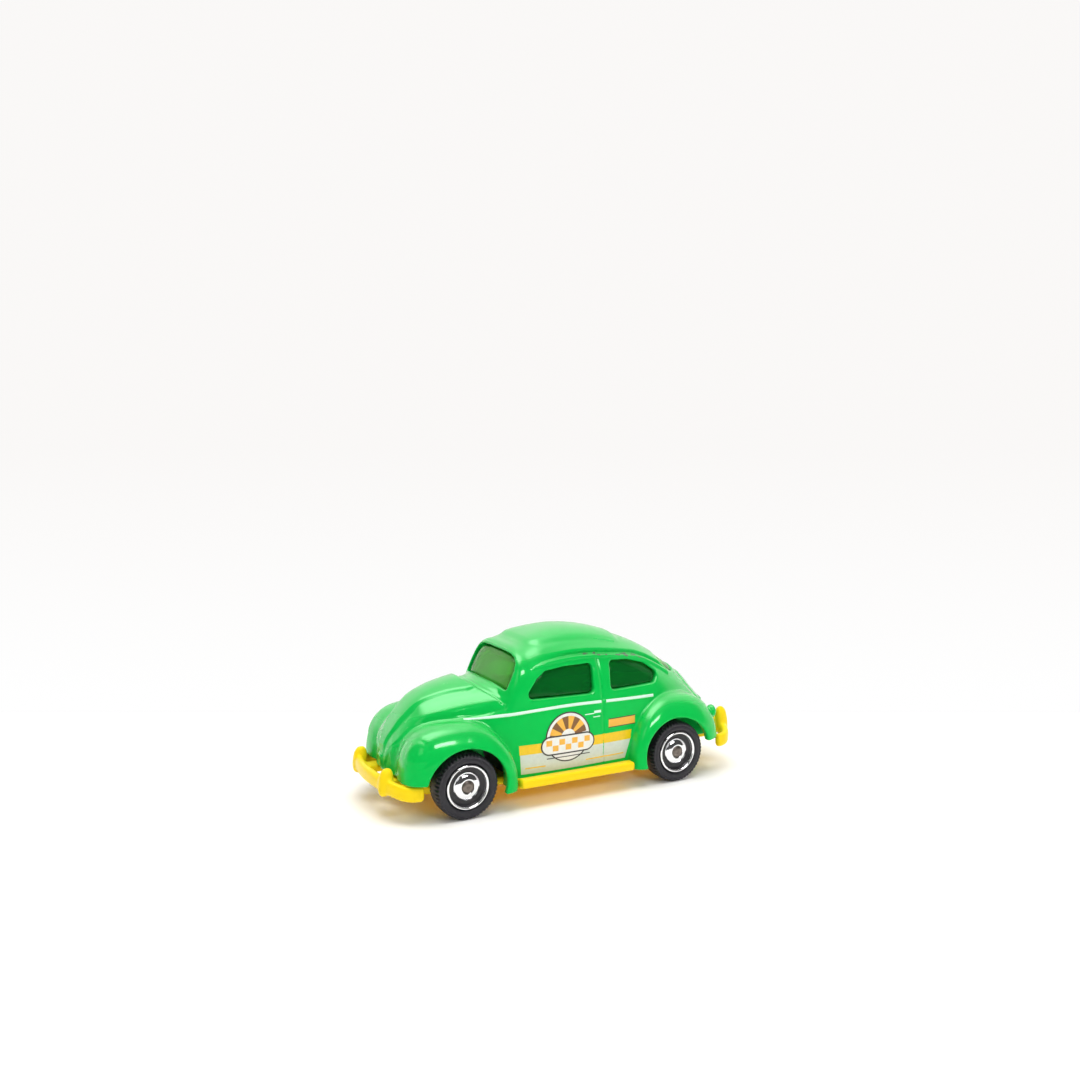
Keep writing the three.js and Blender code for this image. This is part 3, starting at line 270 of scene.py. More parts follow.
def hull_distance(inset):
    """Distance to the hull drawn in by an inset, negative inside it."""
    def measure(p):
        y = np.clip(p[..., 1], nose_y + inset, tail_y - inset)
        half, waist, top, power = hull_section(y, p[..., 2], inset)
        across = np.abs(p[..., 0]) / half
        up = np.maximum(p[..., 2] - waist, 0) / (top - waist)
        return (across ** power + up ** power) ** (1 / power) - 1

    def distance(p, probe=0.02):
        here = measure(p)
        across, along, up = ((measure(p + step) - here) / probe for step in np.eye(3) * probe)
        flat = np.sqrt(np.maximum(across ** 2 + up ** 2, 1e-3))
        x, y, z = np.abs(p[..., 0]) + inset, p[..., 1], p[..., 2] + inset
        ahead = np.maximum(np.interp(x, *front_width), np.interp(z, *front_top)) - y
        behind = y - np.minimum(np.interp(x, *back_width), np.interp(z, *back_top))
        to_face = np.maximum(np.abs(np.maximum(ahead, behind)), 1e-3)
        steep = np.minimum(np.abs(along) / flat, np.abs(here) / flat / to_face)
        past_end = np.maximum(nose_y + inset - y, y - tail_y + inset)
        return np.maximum(here / flat / np.sqrt(1 + steep ** 2), past_end)
    return distance


def hull_x(y, z):
    """Half width of the hull's skin at a place on its side."""
    half, waist, top, power = hull_section(y, z, 0.0)
    up = np.clip((z - waist) / (top - waist), 0, 1)
    return half * (1 - up ** power) ** (1 / power)


def fender_distance(wheel_y, top, nose, tail, board):
    """Distance to the fender over a wheel. Nose and tail give the length and fullness of its halves, and
    the half beside the running board keeps its width low down."""
    def measure(p):
        out = np.abs(p[..., 0]) - FENDER_CROWN
        across = np.where(out > 0, out / (FENDER_OUT - FENDER_CROWN), -out / (FENDER_CROWN - FENDER_IN))
        along = p[..., 1] - wheel_y
        length = np.abs(along) / np.where(along < 0, nose[0], tail[0])
        full = np.where(along < 0, nose[1], tail[1])
        up = np.abs(p[..., 2] - FENDER_CENTRE) / (top - FENDER_CENTRE)
        round_about = np.maximum((length ** full + up ** full) ** (1 / full), 1e-6)
        lean = np.where(along * board > 0, (length / round_about) ** (0.75 * full), 0)
        power = np.where(out > 0, 2 / (2 / 2.6 + (2 / 6.5 - 2 / 2.6) * lean), 3.0)
        return (round_about ** power + across ** power) ** (1 / power) - 1
    return lambda p: reach(measure, p)


def reach(measure, p, probe=0.02):
    """Distance to the skin where a measure is zero, from its slope."""
    here = measure(p)
    slope = sum(((measure(p + step) - here) / probe) ** 2 for step in np.eye(3) * probe)
    return here / np.sqrt(np.maximum(slope, 1e-3))


def blend_in(a, b, soft):
    """Union of two distances with a fillet."""
    h = np.clip(0.5 + 0.5 * (b - a) / soft, 0, 1)
    return b + (a - b) * h - soft * h * (1 - h)


def cut_out(a, tool, soft):
    """What is left of a after a tool, with a rounded edge."""
    return -blend_in(-a, tool, soft)


def ease(low, high, value):
    """Smooth step from 0 to 1."""
    t = np.clip((value - low) / (high - low), 0, 1)
    return t * t * (3 - 2 * t)


def ridge(offset, half_width):
    """1 on a line, falling smoothly to 0 beside it."""
    return np.exp(-(offset / half_width) ** 2)


def outline_distance(points, radius):
    """Distance to a closed outline with rounded corners, in its own plane, negative inside."""
    corners = np.array(points, float)
    edge = np.roll(corners, -1, 0) - corners
    edge /= np.linalg.norm(edge, axis=1)[:, None]
    back = np.roll(edge, 1, 0)
    bisector = np.stack([-edge[:, 1] - back[:, 1], edge[:, 0] + back[:, 0]], 1)
    bisector /= np.linalg.norm(bisector, axis=1)[:, None]
    spread = np.maximum((np.stack([-back[:, 1], back[:, 0]], 1) * bisector).sum(1), 0.5)
    inner = corners + bisector * (radius / spread)[:, None]

    def distance(u, v):
        nearest = np.full(np.broadcast(u, v).shape, np.inf)
        inside = np.zeros(nearest.shape, bool)
        for (ax, ay), (bx, by) in zip(inner, np.roll(inner, -1, 0)):
            ex, ey = bx - ax, by - ay
            share = np.clip(((u - ax) * ex + (v - ay) * ey) / (ex * ex + ey * ey), 0, 1)
            nearest = np.minimum(nearest, (u - ax - share * ex) ** 2 + (v - ay - share * ey) ** 2)
            crosses = (ay > v) != (by > v)
            inside ^= crosses & (u < ax + (v - ay) * ex / (ey if ey else 1e-9))
        nearest = np.sqrt(nearest)
        return np.where(inside, -nearest, nearest) - radius
    return distance


def mirrored(half):
    """A closed outline from the half of it on one side of the car."""
    return half + [(-x, other) for x, other in reversed(half)]


BELT, WINDOW_TOP, SHUT_Y, PILLAR = 17.8, ROOF - 5.7, 6.2, 1.75
SIDE_CORNER, SCREEN_CORNER, BACKLIGHT_CORNER = 0.9, 0.5, 1.9
door_window = [
    (mid_y - 9.2, BELT + 0.4), (mid_y + SHUT_Y - PILLAR - 0.1, BELT), (mid_y + SHUT_Y - PILLAR + 0.2, WINDOW_TOP),
    (mid_y - 1.4, WINDOW_TOP), (mid_y - 5.1, WINDOW_TOP - 0.4), (mid_y - 6.8, WINDOW_TOP - 1.6),
]
quarter_window = [
    (mid_y + SHUT_Y + PILLAR, BELT + 0.1), (mid_y + 18.2, BELT + 0.1), (mid_y + 19.6, BELT + 1.6),
    (mid_y + 16.6, WINDOW_TOP - 1.5), (mid_y + 12.8, WINDOW_TOP - 0.4), (mid_y + SHUT_Y + PILLAR + 0.5, WINDOW_TOP),
]
windscreen = mirrored([
    (4.3, -0.1), (7.0, -0.3), (8.4, -0.55), (8.45, 1.5), (8.3, 3.2), (7.9, 4.4), (7.1, 5.2), (5.9, 5.6), (3.8, 5.75),
])
backlight = mirrored([(5.9, 0), (5.2, 4.9)])
SCREEN_RAKE, BACKLIGHT_RAKE = math.radians(63), math.radians(35)
SCREEN_UP = np.array([0, math.cos(SCREEN_RAKE), math.sin(SCREEN_RAKE)])
SCREEN_FOOT = np.array([0, mid_y - 11.1, COWL - 0.9])
BACKLIGHT_UP = np.array([0, -math.cos(BACKLIGHT_RAKE), math.sin(BACKLIGHT_RAKE)])
BACKLIGHT_FOOT = np.array([0, rear_y + 4.7, ROOF - 9.05])
SCREEN_REACH, SCREEN_DEPTH = 2.8, 1.6


def leaning_distance(outline, foot, up, depth):
    """Distance to a window's tool that stands on a leaning plane and goes a depth into the car."""
    normal = np.array([0, -abs(up[2]), up[1]]) * math.copysign(1, up[1])

    def distance(p):
        from_foot = p - foot
        flat = outline(from_foot[..., 0], from_foot @ up)
        out = from_foot @ normal
        return np.maximum(flat, np.maximum(out - SCREEN_REACH, -out - depth))
    return distance


def side_distance(outline):
    """Distance to a side window's tool, which runs through the car from side to side."""
    return lambda p: outline(p[..., 1], p[..., 2])


side_tools = [side_distance(outline_distance(points, SIDE_CORNER)) for points in (door_window, quarter_window)]
screen_tool = leaning_distance(
    outline_distance(windscreen, SCREEN_CORNER), SCREEN_FOOT, SCREEN_UP, SCREEN_DEPTH,
)
backlight_tool = leaning_distance(
    outline_distance(backlight, BACKLIGHT_CORNER), BACKLIGHT_FOOT, BACKLIGHT_UP, SCREEN_REACH,
)
outer_hull, inner_hull = hull_distance(0.0), hull_distance(BODY_WALL)
front_fender = fender_distance(front_y, 15.6, (10.3, 3.3), (9.5, 2.0), 1)
rear_fender = fender_distance(rear_y, 15.7, (9.1, 2.0), (10.8, 2.5), -1)
hood_edge = along_car([
    (nose_y - 2.0, 4.2), (mid_y - 30.3, 4.6), (mid_y - 27.9, 5.2), (mid_y - 25.4, 5.8),
    (mid_y - 22.0, 6.8), (mid_y - 18.4, 7.6), (mid_y - 15.2, 8.4), (mid_y - 12.0, 9.7),
])
hood_crest = along_car([
    (nose_y - 2.0, 1.8), (mid_y - 30.3, 2.2), (mid_y - 28.5, 2.6), (mid_y - 26.2, 3.0),
    (mid_y - 22.7, 3.7), (mid_y - 19.9, 4.3), (mid_y - 18.2, 4.8), (mid_y - 16.0, 5.7),
])
nose_edge = [6.0, 8.0, 10.0, 12.0, 14.0, 17.0], [0.9, 1.6, 2.7, 4.1, 5.6, 9.0]
nose_crest = [6.0, 9.0, 12.0, 14.0, 17.0], [0.4, 0.8, 1.5, 2.3, 5.0]
lid_outline = outline_distance(mirrored([
    (3.6, VALANCE + 0.8), (5.0, ROOF - 12.55), (3.8, ROOF - 10.35),
]), 1.0)
sunroof_outline = outline_distance(mirrored([(6.2, mid_y - 6.4), (5.5, mid_y + 12.4)]), 2.0)
headlamp_at = np.array([10.3, front_y - 7.6, 11.3])
headlamp_facing = np.array([0.42, -0.78, 0.46])
headlamp_facing /= np.linalg.norm(headlamp_facing)
HEADLAMP_RADIUS = 2.05
tail_lamp_at = np.array([9.6, rear_y + 9.6, 11.3])
TAIL_LAMP_RADIUS = 1.1
belt_bead = along_car([
    (mid_y - 21.5, 15.85), (mid_y - 18.5, 15.6), (mid_y - 16.0, 15.65), (mid_y - 13.6, 15.8), (mid_y - 7.5, 16.2),
    (mid_y - 0.9, 16.4), (mid_y + 6.0, 16.25), (mid_y + 17.5, 15.8),
])
RAIL_FRONT, RAIL_REAR, RAIL_RADIUS = mid_y - 7.4, mid_y + 22.5, 0.34
rail_line = along_car([
    (RAIL_FRONT, WINDOW_TOP + 0.2), (mid_y - 5.0, WINDOW_TOP + 0.8), (mid_y, WINDOW_TOP + 1.2),
    (mid_y + 4.0, WINDOW_TOP + 1.15), (mid_y + 8.0, WINDOW_TOP + 0.8), (mid_y + 13.8, WINDOW_TOP - 0.05),
    (mid_y + 17.0, WINDOW_TOP - 1.0), (mid_y + 20.0, WINDOW_TOP - 2.5), (RAIL_REAR, WINDOW_TOP - 4.1),
])
GUTTER_RISE, EAVES_RISE = 0.55, 1.3
post_ys = (front_y - 4.8, rear_y + 8.2)
POST_RADIUS, RIVET_RADIUS, RIVET_FOOT, POST_TOP = 1.5, 2.2, 3.38, COWL - 8.5
HOOD_RISE, HOOD_GROOVE, CREST_RISE, COWL_SEAM = 0.36, 0.16, 0.36, 0.10
LID_RISE, LID_GROOVE, SUNROOF_RISE, SHUT_GROOVE, BEAD_RISE = 0.24, 0.08, 0.30, 0.16, 0.16
GUTTER_SUNK, EAVES_LIFT, LENS_RISE, LENS_GROOVE = 0.34, 0.12, 0.06, 0.03
WALL_EDGE, ARCH_EDGE, CUT_EDGE = 0.15, 0.35, 0.3


def body_skin(p):
    """Distance to the outside of the shell, with its panels, lamps, rails and beads."""
    x, y, z = np.abs(p[..., 0]), p[..., 1], p[..., 2]
    skin = outer_hull(p)
    hood_side = np.minimum(np.interp(y, *hood_edge), np.interp(z, *nose_edge)) - x
    in_hood = np.minimum(hood_side, mid_y - 16.8 + 0.05 * x ** 2 - y)
    forward = ease(mid_y - 11.0, mid_y - 12.5, y)
    crest = np.minimum(np.interp(y, *hood_crest), np.interp(z, *nose_crest)) - x
    on_nose = ease(front_y - 4.5, front_y - 7.5, y)
    hood = HOOD_RISE * ease(-0.3, 0.3, in_hood) - HOOD_GROOVE * ridge(in_hood + 0.1, 0.35) * (1 - on_nose)
    hood = hood + CREST_RISE * ease(-0.4, 0.4, crest) * ease(0.0, 1.0, in_hood)
    hood = hood - (0.3 + 0.2 * ease(0.2, 1.8, -in_hood)) * on_nose
    cowl_seam = COWL_SEAM * ridge(y - mid_y + 15.5 - 0.044 * x ** 2, 0.28)
    skin = skin - (hood - cowl_seam) * forward * ease(5.5, 9.5, z)
    from_lid = lid_outline(x, z)
    lid = LID_RISE * ease(-0.18, 0.18, -from_lid) - LID_GROOVE * ridge(from_lid, 0.25)
    skin = skin - lid * ease(rear_y + 1.5, rear_y + 2.5, y)
    sunroof = SUNROOF_RISE * ease(-0.7, 0.6, -sunroof_outline(x, y))
    skin = skin - sunroof * ease(BELT + 4, BELT + 5, z)
    beside = ease(5.0, 6.0, x)
    shut_at = mid_y + SHUT_Y - 0.03 * (z - WAIST)
    on_door = ease(SILL - 1, SILL, z) * ease(WINDOW_TOP + 1.6, WINDOW_TOP + 0.9, z)
    skin = skin + SHUT_GROOVE * ridge(y - shut_at, 0.2) * on_door * beside
    bead = ridge(z - np.interp(y, *belt_bead), 0.3) * ease(mid_y - 21.5, mid_y - 20.0, y)
    skin = skin - BEAD_RISE * bead * ease(mid_y + 17.8, mid_y + 17.2, y) * beside
    rail_z = np.interp(y, *rail_line)
    under_rail = ease(RAIL_FRONT, RAIL_FRONT + 9, y) * ease(RAIL_REAR, RAIL_REAR - 2, y)
    gutter = GUTTER_SUNK * ridge(z - rail_z - GUTTER_RISE, 0.3)
    gutter = gutter - EAVES_LIFT * ridge(z - rail_z - EAVES_RISE, 0.4)
    skin = skin + gutter * under_rail * ease(3.0, 4.5, x)
    slope = np.gradient(rail_line[1], rail_line[0])
    across_rail = 1 / np.sqrt(1 + np.interp(y, rail_line[0], slope) ** 2)
    thin = RAIL_RADIUS * (0.3 + 0.7 * ease(RAIL_FRONT, RAIL_FRONT + 3.5, y))
    rail = np.hypot(x - hull_x(y, rail_z) - 0.05, (z - rail_z) * across_rail) - thin
    past_end = np.maximum(np.maximum(RAIL_FRONT - y, y - RAIL_REAR), 0)
    skin = blend_in(skin, rail + past_end, 0.15)
    from_lamp = np.stack([x, y, z], -1) - headlamp_at
    depth = from_lamp @ headlamp_facing
    radial = np.sqrt(np.maximum((from_lamp ** 2).sum(-1) - depth ** 2, 0))
    lens = LENS_RISE * ease(HEADLAMP_RADIUS + 0.2, HEADLAMP_RADIUS - 0.9, radial)
    lens = (lens - LENS_GROOVE * ridge(radial - HEADLAMP_RADIUS - 0.2, 0.22)) * ease(-2.5, -1.5, depth)
    apron = 0.5 + 1.0 * ease(front_y - 4.0, front_y - 8.5, y)
    skin = blend_in(skin, front_fender(p) - lens, apron)
    skin = blend_in(skin, rear_fender(p), 0.5)
    from_tail = (np.stack([x, y, z], -1) - tail_lamp_at) / np.array([1.0, 0.75, 1.15])
    return blend_in(skin, np.linalg.norm(from_tail, axis=-1) - TAIL_LAMP_RADIUS, 0.25)


def casting(p):
    """Distance to the shell's metal, negative inside it."""
    x, y, z = np.abs(p[..., 0]), p[..., 1], p[..., 2]
    metal = cut_out(body_skin(p), inner_hull(p), WALL_EDGE)
    for fender, wheel_y in ((front_fender, front_y), (rear_fender, rear_y)):
        arch = (np.hypot((y - wheel_y) / ARCH_REACH, (z - axle_z) / ARCH_RISE) - 1) * ARCH_RISE
        well = np.maximum(np.minimum(fender(p) + FENDER_WALL, arch), WELL_INNER - x)
        metal = cut_out(metal, well, ARCH_EDGE)
    ends = np.where((y < front_y) | (y > rear_y), VALANCE, np.where(x < WELL_INNER, SILL, FENDER_SKIRT))
    metal = cut_out(metal, z - ends, CUT_EDGE)
    for tool in (*side_tools, screen_tool, backlight_tool):
        metal = cut_out(metal, tool(p), CUT_EDGE)
    for post_y in post_ys:
        from_post = np.hypot(x, y - post_y)
        post = np.maximum(from_post - POST_RADIUS, np.maximum(RIVET_FOOT + 0.2 - z, z - POST_TOP))
        head = np.sqrt((from_post / RIVET_RADIUS) ** 2 + ((z - RIVET_FOOT - 0.5) / 0.5) ** 2) - 1
        metal = np.minimum(metal, np.minimum(post, np.maximum(0.5 * head, z - RIVET_FOOT - 0.5)))
    return metal


def cast_mesh(name, field, low, high, step):
    """Closed smooth mesh of a solid that is mirrored about x = 0, from its distance field in mm."""
    count = int(math.ceil(high[0] / step)) + 1
    xs = (np.arange(count) + 0.5) * step
    ys = np.arange(low[1], high[1] + step, step)
    zs = np.arange(low[2], high[2] + step, step)
    half = np.empty((count, len(ys), len(zs)), np.float32)
    for i, x in enumerate(xs):
        plane = np.empty((len(ys), len(zs), 3))
        plane[..., 0], plane[..., 1], plane[..., 2] = x, ys[:, None], zs[None, :]
        half[i] = field(plane)
    values = np.concatenate([half[::-1], half])
    origin = np.array([-xs[-1], ys[0], zs[0]])
    inside = values < 0
    cells = np.zeros(tuple(n - 1 for n in values.shape), np.int8)
    corner_steps = [(i, j, k) for i in (0, 1) for j in (0, 1) for k in (0, 1)]
    for i, j, k in corner_steps:
        cells += inside[i:i + cells.shape[0], j:j + cells.shape[1], k:k + cells.shape[2]]
    active = np.argwhere((cells > 0) & (cells < 8))
    number = np.full(cells.shape, -1, np.int64)
    number[tuple(active.T)] = np.arange(len(active))
    total, hits = np.zeros((len(active), 3)), np.zeros(len(active))
    for a in corner_steps:
        for axis in range(3):
            if a[axis]:
                continue
            b = tuple(c + (n == axis) for n, c in enumerate(a))
            va = values[tuple((active + a).T)]
            vb = values[tuple((active + b).T)]
            crossed = (va < 0) != (vb < 0)
            share = np.where(crossed, va / np.where(crossed, va - vb, 1), 0)
            at = active + np.array(a) + np.eye(3)[axis] * share[:, None]
            total += at * crossed[:, None]
            hits += crossed
    points = origin + step * total / hits[:, None]
    quads = []
    for axis in range(3):
        u, v = [n for n in range(3) if n != axis]
        first = np.take(inside, range(values.shape[axis] - 1), axis)
        second = np.take(inside, range(1, values.shape[axis]), axis)
        at = np.argwhere(first != second)
        inner = [(at[:, n] > 0) & (at[:, n] < values.shape[n] - 1) for n in (u, v)]
        at = at[inner[0] & inner[1]]
        goes_in = first[tuple(at.T)]
        ring = []
        for du, dv in ((-1, -1), (0, -1), (0, 0), (-1, 0)):
            cell = at.copy()
            cell[:, u] += du
            cell[:, v] += dv
            ring.append(number[tuple(cell.T)])
        ring = np.stack(ring, 1)
        flip = goes_in == (axis == 1)
        ring[flip] = ring[flip][:, ::-1]
        quads.append(ring)
    quads = np.concatenate(quads)
    probe = 0.02
    for _ in range(3):
        slope = np.stack([(field(points + d) - field(points - d)) / (2 * probe) for d in np.eye(3) * probe], -1)
        steep = np.maximum((slope ** 2).sum(-1), 0.05)
        move = slope * (field(points) / steep)[:, None]
        far = np.maximum(np.linalg.norm(move, axis=1) / (0.4 * step), 1)
        points = points - move / far[:, None]
    return smooth_piece(name, points, quads.tolist())


def smooth_piece(name, points, faces):
    """A smooth-shaded object from points in mm and its faces."""
    mesh = bpy.data.meshes.new(name)
    mesh.from_pydata((np.asarray(points) * MM).tolist(), [], faces)
    mesh.update()
    mesh.shade_smooth()
    piece = bpy.data.objects.new(name, mesh)
    scene.collection.objects.link(piece)
    return piece


def finish(name, colour, roughness, grain=2500.0, spread=0.06, relief=0.0, metallic=0.0, tint=(1.0, 1.0, 1.0)):
    """A procedural surface: its tone and gloss drift with a grain, which may also stand in relief."""
    material = bpy.data.materials.new(name)
    material.use_nodes = True
    tree = material.node_tree
    place = add_node(tree, "TexCoord", {})
    place.name = "place"
    noise = add_node(tree, "TexNoise", {"Scale": grain, "Detail": 4.0, "Vector": place.outputs["Object"]})
    drift = noise.outputs["Fac"]
    tone = add_node(tree, "MixRGB", {
        "Fac": drift, "Color1": (*(c * (1 - spread) for c in colour), 1.0),
        "Color2": (*(min(c * (1 + spread), 1.0) for c in colour), 1.0),
    })
    tone.name = "tone"
    shader = feed(tree, tree.nodes["Principled BSDF"], {
        "Base Color": tone.outputs["Color"], "Metallic": metallic, "Specular Tint": (*tint, 1.0),
        "Roughness": ranged(tree, drift, (0.0, 1.0, roughness * 0.8, roughness * 1.2)),
    })
    if relief:
        bump = add_node(tree, "Bump", {"Strength": relief, "Distance": GRAIN_HEIGHT, "Height": drift})
        feed(tree, shader, {"Normal": bump.outputs["Normal"]})
    return material


def facing(tree, axis):
    """One axis of the direction that a surface faces."""
    parts = add_node(tree, "SeparateXYZ", {"Vector": add_node(tree, "NewGeometry", {}).outputs["Normal"]})
    return parts.outputs[axis]


GRAIN_HEIGHT = 0.05 * MM
PAINT_GREEN = (0.003, 0.535, 0.077)
COAT_RANGE, COAT_ROUGH, COAT_IOR = (0.1, 0.5, 0.06, 1.0), (0.45, 0.7, 0.09, 0.32), 1.7
ZINC_AND_GUTTER_SHADE, CHIP_AND_SHADE_RANGE = (0.11, 0.12, 0.09, 1.0), (1.0, 1.05, 0.0, 1.0)
SHELL_STEP = 0.24
body_shell = cast_mesh(
    "body_shell_casting", casting, (0, nose_y - 1.2, 3.0), (13.7, tail_y + 0.8, ROOF + 0.8), SHELL_STEP,
)
shell_points = np.empty(len(body_shell.data.vertices) * 3)
body_shell.data.vertices.foreach_get("co", shell_points)
shell_x, shell_y, shell_z = (shell_points.reshape(-1, 3) / MM).T
# Dark grey marks: bare metal on the rivet heads, rubbed paint on the rail tops, and painted shade in the gutter recess
# above the rails.
gutter_z = np.interp(shell_y, *rail_line) + GUTTER_RISE - 0.25
in_gutter = ridge(shell_z - gutter_z, 0.5) * ease(4.0, 5.0, np.abs(shell_x))
in_gutter *= ease(mid_y, mid_y + 4, shell_y) * ease(mid_y + 19, mid_y + 15, shell_y)
on_rivet = np.maximum.reduce([
    ease(RIVET_RADIUS + 0.5, RIVET_RADIUS, np.hypot(shell_x, shell_y - post_y)) for post_y in post_ys
]) * ease(4.4, 4.0, shell_z)
wear_and_gutter_shade = body_shell.data.attributes.new("wear_and_gutter_shade", "FLOAT", "POINT")
wear_and_gutter_shade.data.foreach_set("value", np.maximum(0.52 * in_gutter, on_rivet))
enamel = finish("green_enamel", PAINT_GREEN, 0.25, grain=700.0, spread=0.05, relief=0.1, tint=(0.02, 0.9, 0.2))
tree = enamel.node_tree
upward = facing(tree, "Z")
wear_and_shade_node = add_node(tree, "Attribute", {})
wear_and_shade_node.attribute_name = "wear_and_gutter_shade"
flakes = add_node(tree, "TexNoise", {"Scale": 900.0, "Detail": 6.0, "Vector": tree.nodes["place"].outputs["Object"]})
chips_and_shade = add_node(tree, "Math", {0: wear_and_shade_node.outputs["Fac"], 1: flakes.outputs["Fac"]})
chips_and_shade.operation = "ADD"
worn_and_shaded_tone = add_node(tree, "MixRGB", {
    "Fac": ranged(tree, chips_and_shade.outputs[0], CHIP_AND_SHADE_RANGE), "Color1": tree.nodes["tone"].outputs["Color"],
    "Color2": ZINC_AND_GUTTER_SHADE,
})
feed(tree, tree.nodes["Principled BSDF"], {
    "Base Color": worn_and_shaded_tone.outputs["Color"], "Coat IOR": COAT_IOR,
    "Coat Weight": ranged(tree, upward, COAT_RANGE), "Coat Roughness": ranged(tree, upward, COAT_ROUGH),
})
body_shell.data.materials.append(enamel)
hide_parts("body_shell")
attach(body_shell, "chassis")

# Side prints: pad-printed inks on the painted sides, the same on both. A pale belt line and door handle,
# a two-colour band over the sills, a round badge with a plaque across it and a small amber plate. The
# badge carries plain rays and checks.
INK_SUNK, INK_LAYER = 0.06, 0.022
INK_WHITE, INK_PALE, INK_MINT = (0.86, 0.86, 0.82), (0.66, 0.72, 0.66), (0.70, 0.96, 0.80)
INK_YELLOW, INK_AMBER = (0.95, 0.60, 0.0), (0.92, 0.48, 0.05)
INK_BROWN, INK_DARK = (0.22, 0.09, 0.02), (0.03, 0.025, 0.02)


def skin_x(y, z):
    """Half width of the finished shell at places on its side."""
    p = np.stack([np.full(np.shape(y), FENDER_OUT + 0.3), y, z], -1)
    for _ in range(40):
        p[..., 0] -= 0.8 * np.clip(body_skin(p), -0.3, 1.0)
    return p[..., 0]


def print_ink(name, colour, patches):
    """One ink: patches are (layer, y grid, z grid) on the car's side, laid as thin solids on both sides."""
    points, faces = [], []
    for layer, y, z in patches:
        x = skin_x(y, z)
        for side in (1, -1):
            front = len(points) + np.arange(y.size).reshape(y.shape)
            for lift in (INK_LAYER * layer, -INK_SUNK):
                points.extend(np.stack([side * (x + lift), y, z], -1).reshape(-1, 3))
            quads = np.stack([front[:-1, :-1], front[:-1, 1:], front[1:, 1:], front[1:, :-1]], -1).reshape(-1, 4)
            rim = np.concatenate([front[0], front[1:, -1], front[-1, -2::-1], front[-2:0:-1, 0]])
            after = np.roll(rim, -1)
            walls = np.stack([after, rim, rim + y.size, after + y.size], 1)
            faces += [*quads.tolist(), *(quads[:, ::-1] + y.size).tolist(), *walls.tolist()]
    ink = smooth_piece(name, points, faces)
    tidy = bmesh.new()
    tidy.from_mesh(ink.data)
    bmesh.ops.recalc_face_normals(tidy, faces=tidy.faces)
    tidy.to_mesh(ink.data)
    tidy.free()
    ink.data.shade_flat()
    ink.data.materials.append(finish(name, colour, 0.3, grain=1800.0, spread=0.1))
    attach(ink, "chassis")


def strip(layer, start, end, low, high, columns=60, rows=4, lean=(0.0, 0.0)):
    """A patch between two heights, given as numbers or as functions of y. Its ends may lean."""
    share = np.linspace(0, 1, rows)[:, None]
    starts, ends = start + lean[0] * (1 - share), end + lean[1] * (1 - share)
    along = mid_y + starts + (ends - starts) * np.linspace(0, 1, columns)
    bottom, top = (edge(along) if callable(edge) else edge for edge in (low, high))
    return layer, along, bottom + (top - bottom) * share + np.zeros_like(along)


def sector(layer, inner, outer, start, end, columns=40, rows=3):
    """A patch of the badge between two radii and two angles in degrees, counted from straight up."""
    turn = np.radians(np.linspace(start, end, columns))[None, :]
    radius = np.linspace(inner, outer, rows)[:, None]
    return layer, mid_y + BADGE_Y + radius * np.sin(turn), BADGE_Z + radius * np.cos(turn)


def plaque(layer, half_length, half_height):
    """A patch with round ends across the badge."""
    along = np.sin(np.linspace(-math.pi / 2, math.pi / 2, 50))
    tall = half_height * (1 - np.clip(np.abs(along * half_length) - half_length + half_height, 0, None) ** 2
                          / half_height ** 2) ** 0.5
    tall = np.maximum(tall, 0.02)
    share = np.linspace(-1, 1, 5)[:, None]
    y = np.broadcast_to(mid_y + BADGE_Y + half_length * along, (5, 50))
    return layer, y, PLAQUE_Z + share * tall


BADGE_Y, BADGE_Z, BADGE_RADIUS = -1.1, 10.9, 4.4
PLAQUE_Z, PLAQUE_HALF_LENGTH, PLAQUE_HALF_HEIGHT = 9.65, 5.3, 1.7
BAND_FRONT, BAND_REAR, BAND_TOP, BAND_MID, BAND_LOW = -10.4, 12.2, 10.35, 8.65, 5.2
BELT_FRONT, BELT_FULL, BELT_TAPER = -19.6, -14.0, 0.3
CHECK_STEP, CHECK_HALF, CHECK_HEIGHT, RAY_INNER, RAY_TURN = 1.25, 0.55, 1.0, 1.4, 20


def belt_edge(lift):
    """An edge of the belt line, which narrows towards the nose, as a function of y."""
    return lambda y: np.interp(y, *belt_bead) + lift * np.interp(y - mid_y, [BELT_FRONT, BELT_FULL], [BELT_TAPER, 1.0])


def badge_ray(turn):
    """A ray of the badge from an angle on."""
    return sector(3, RAY_INNER, BADGE_RADIUS - 0.75, turn, turn + RAY_TURN, 8)


def check(step, low):
    """A check on the plaque, some steps from its middle."""
    centre = BADGE_Y + CHECK_STEP * step
    return strip(6, centre - CHECK_HALF, centre + CHECK_HALF, low, low + CHECK_HEIGHT, 8)


print_ink("belt_print", INK_MINT, [
    strip(1, BELT_FRONT, 5.7, belt_edge(-0.24), belt_edge(0.26), 140),
    strip(1, 6.7, 17.4, belt_edge(-0.24), belt_edge(0.26), 60),
    strip(1, 4.2, 5.6, 14.35, 14.8, 12),
    strip(1, 2.3, 4.2, 14.25, 14.42, 12),
    strip(1, 4.0, 5.4, 13.62, 13.78, 12),
])
print_ink("yellow_print", INK_YELLOW, [
    strip(1, BAND_FRONT, BAND_REAR, BAND_MID, BAND_TOP, 190, 8, (0.1, -0.15)),
    strip(2, -9.2, -5.4, 6.12, 6.32, 20),
    strip(2, 2.6, 10.6, 6.12, 6.32, 40),
])
print_ink("pale_print", INK_PALE, [
    strip(1, BAND_FRONT + 0.2, BAND_REAR - 0.2, BAND_LOW, BAND_MID, 190, 14, (0.3, -1.0)),
])
print_ink("dark_print", INK_DARK, [
    sector(3, BADGE_RADIUS - 0.22, BADGE_RADIUS, -180, 180, 90),
    plaque(4, PLAQUE_HALF_LENGTH, PLAQUE_HALF_HEIGHT),
    strip(3, -5.2, 3.3, 7.35, 7.5, 40),
    *(strip(2, 7.15, 13.1, low, low + 0.13, 50, 2) for low in (11.3, 12.82)),
])
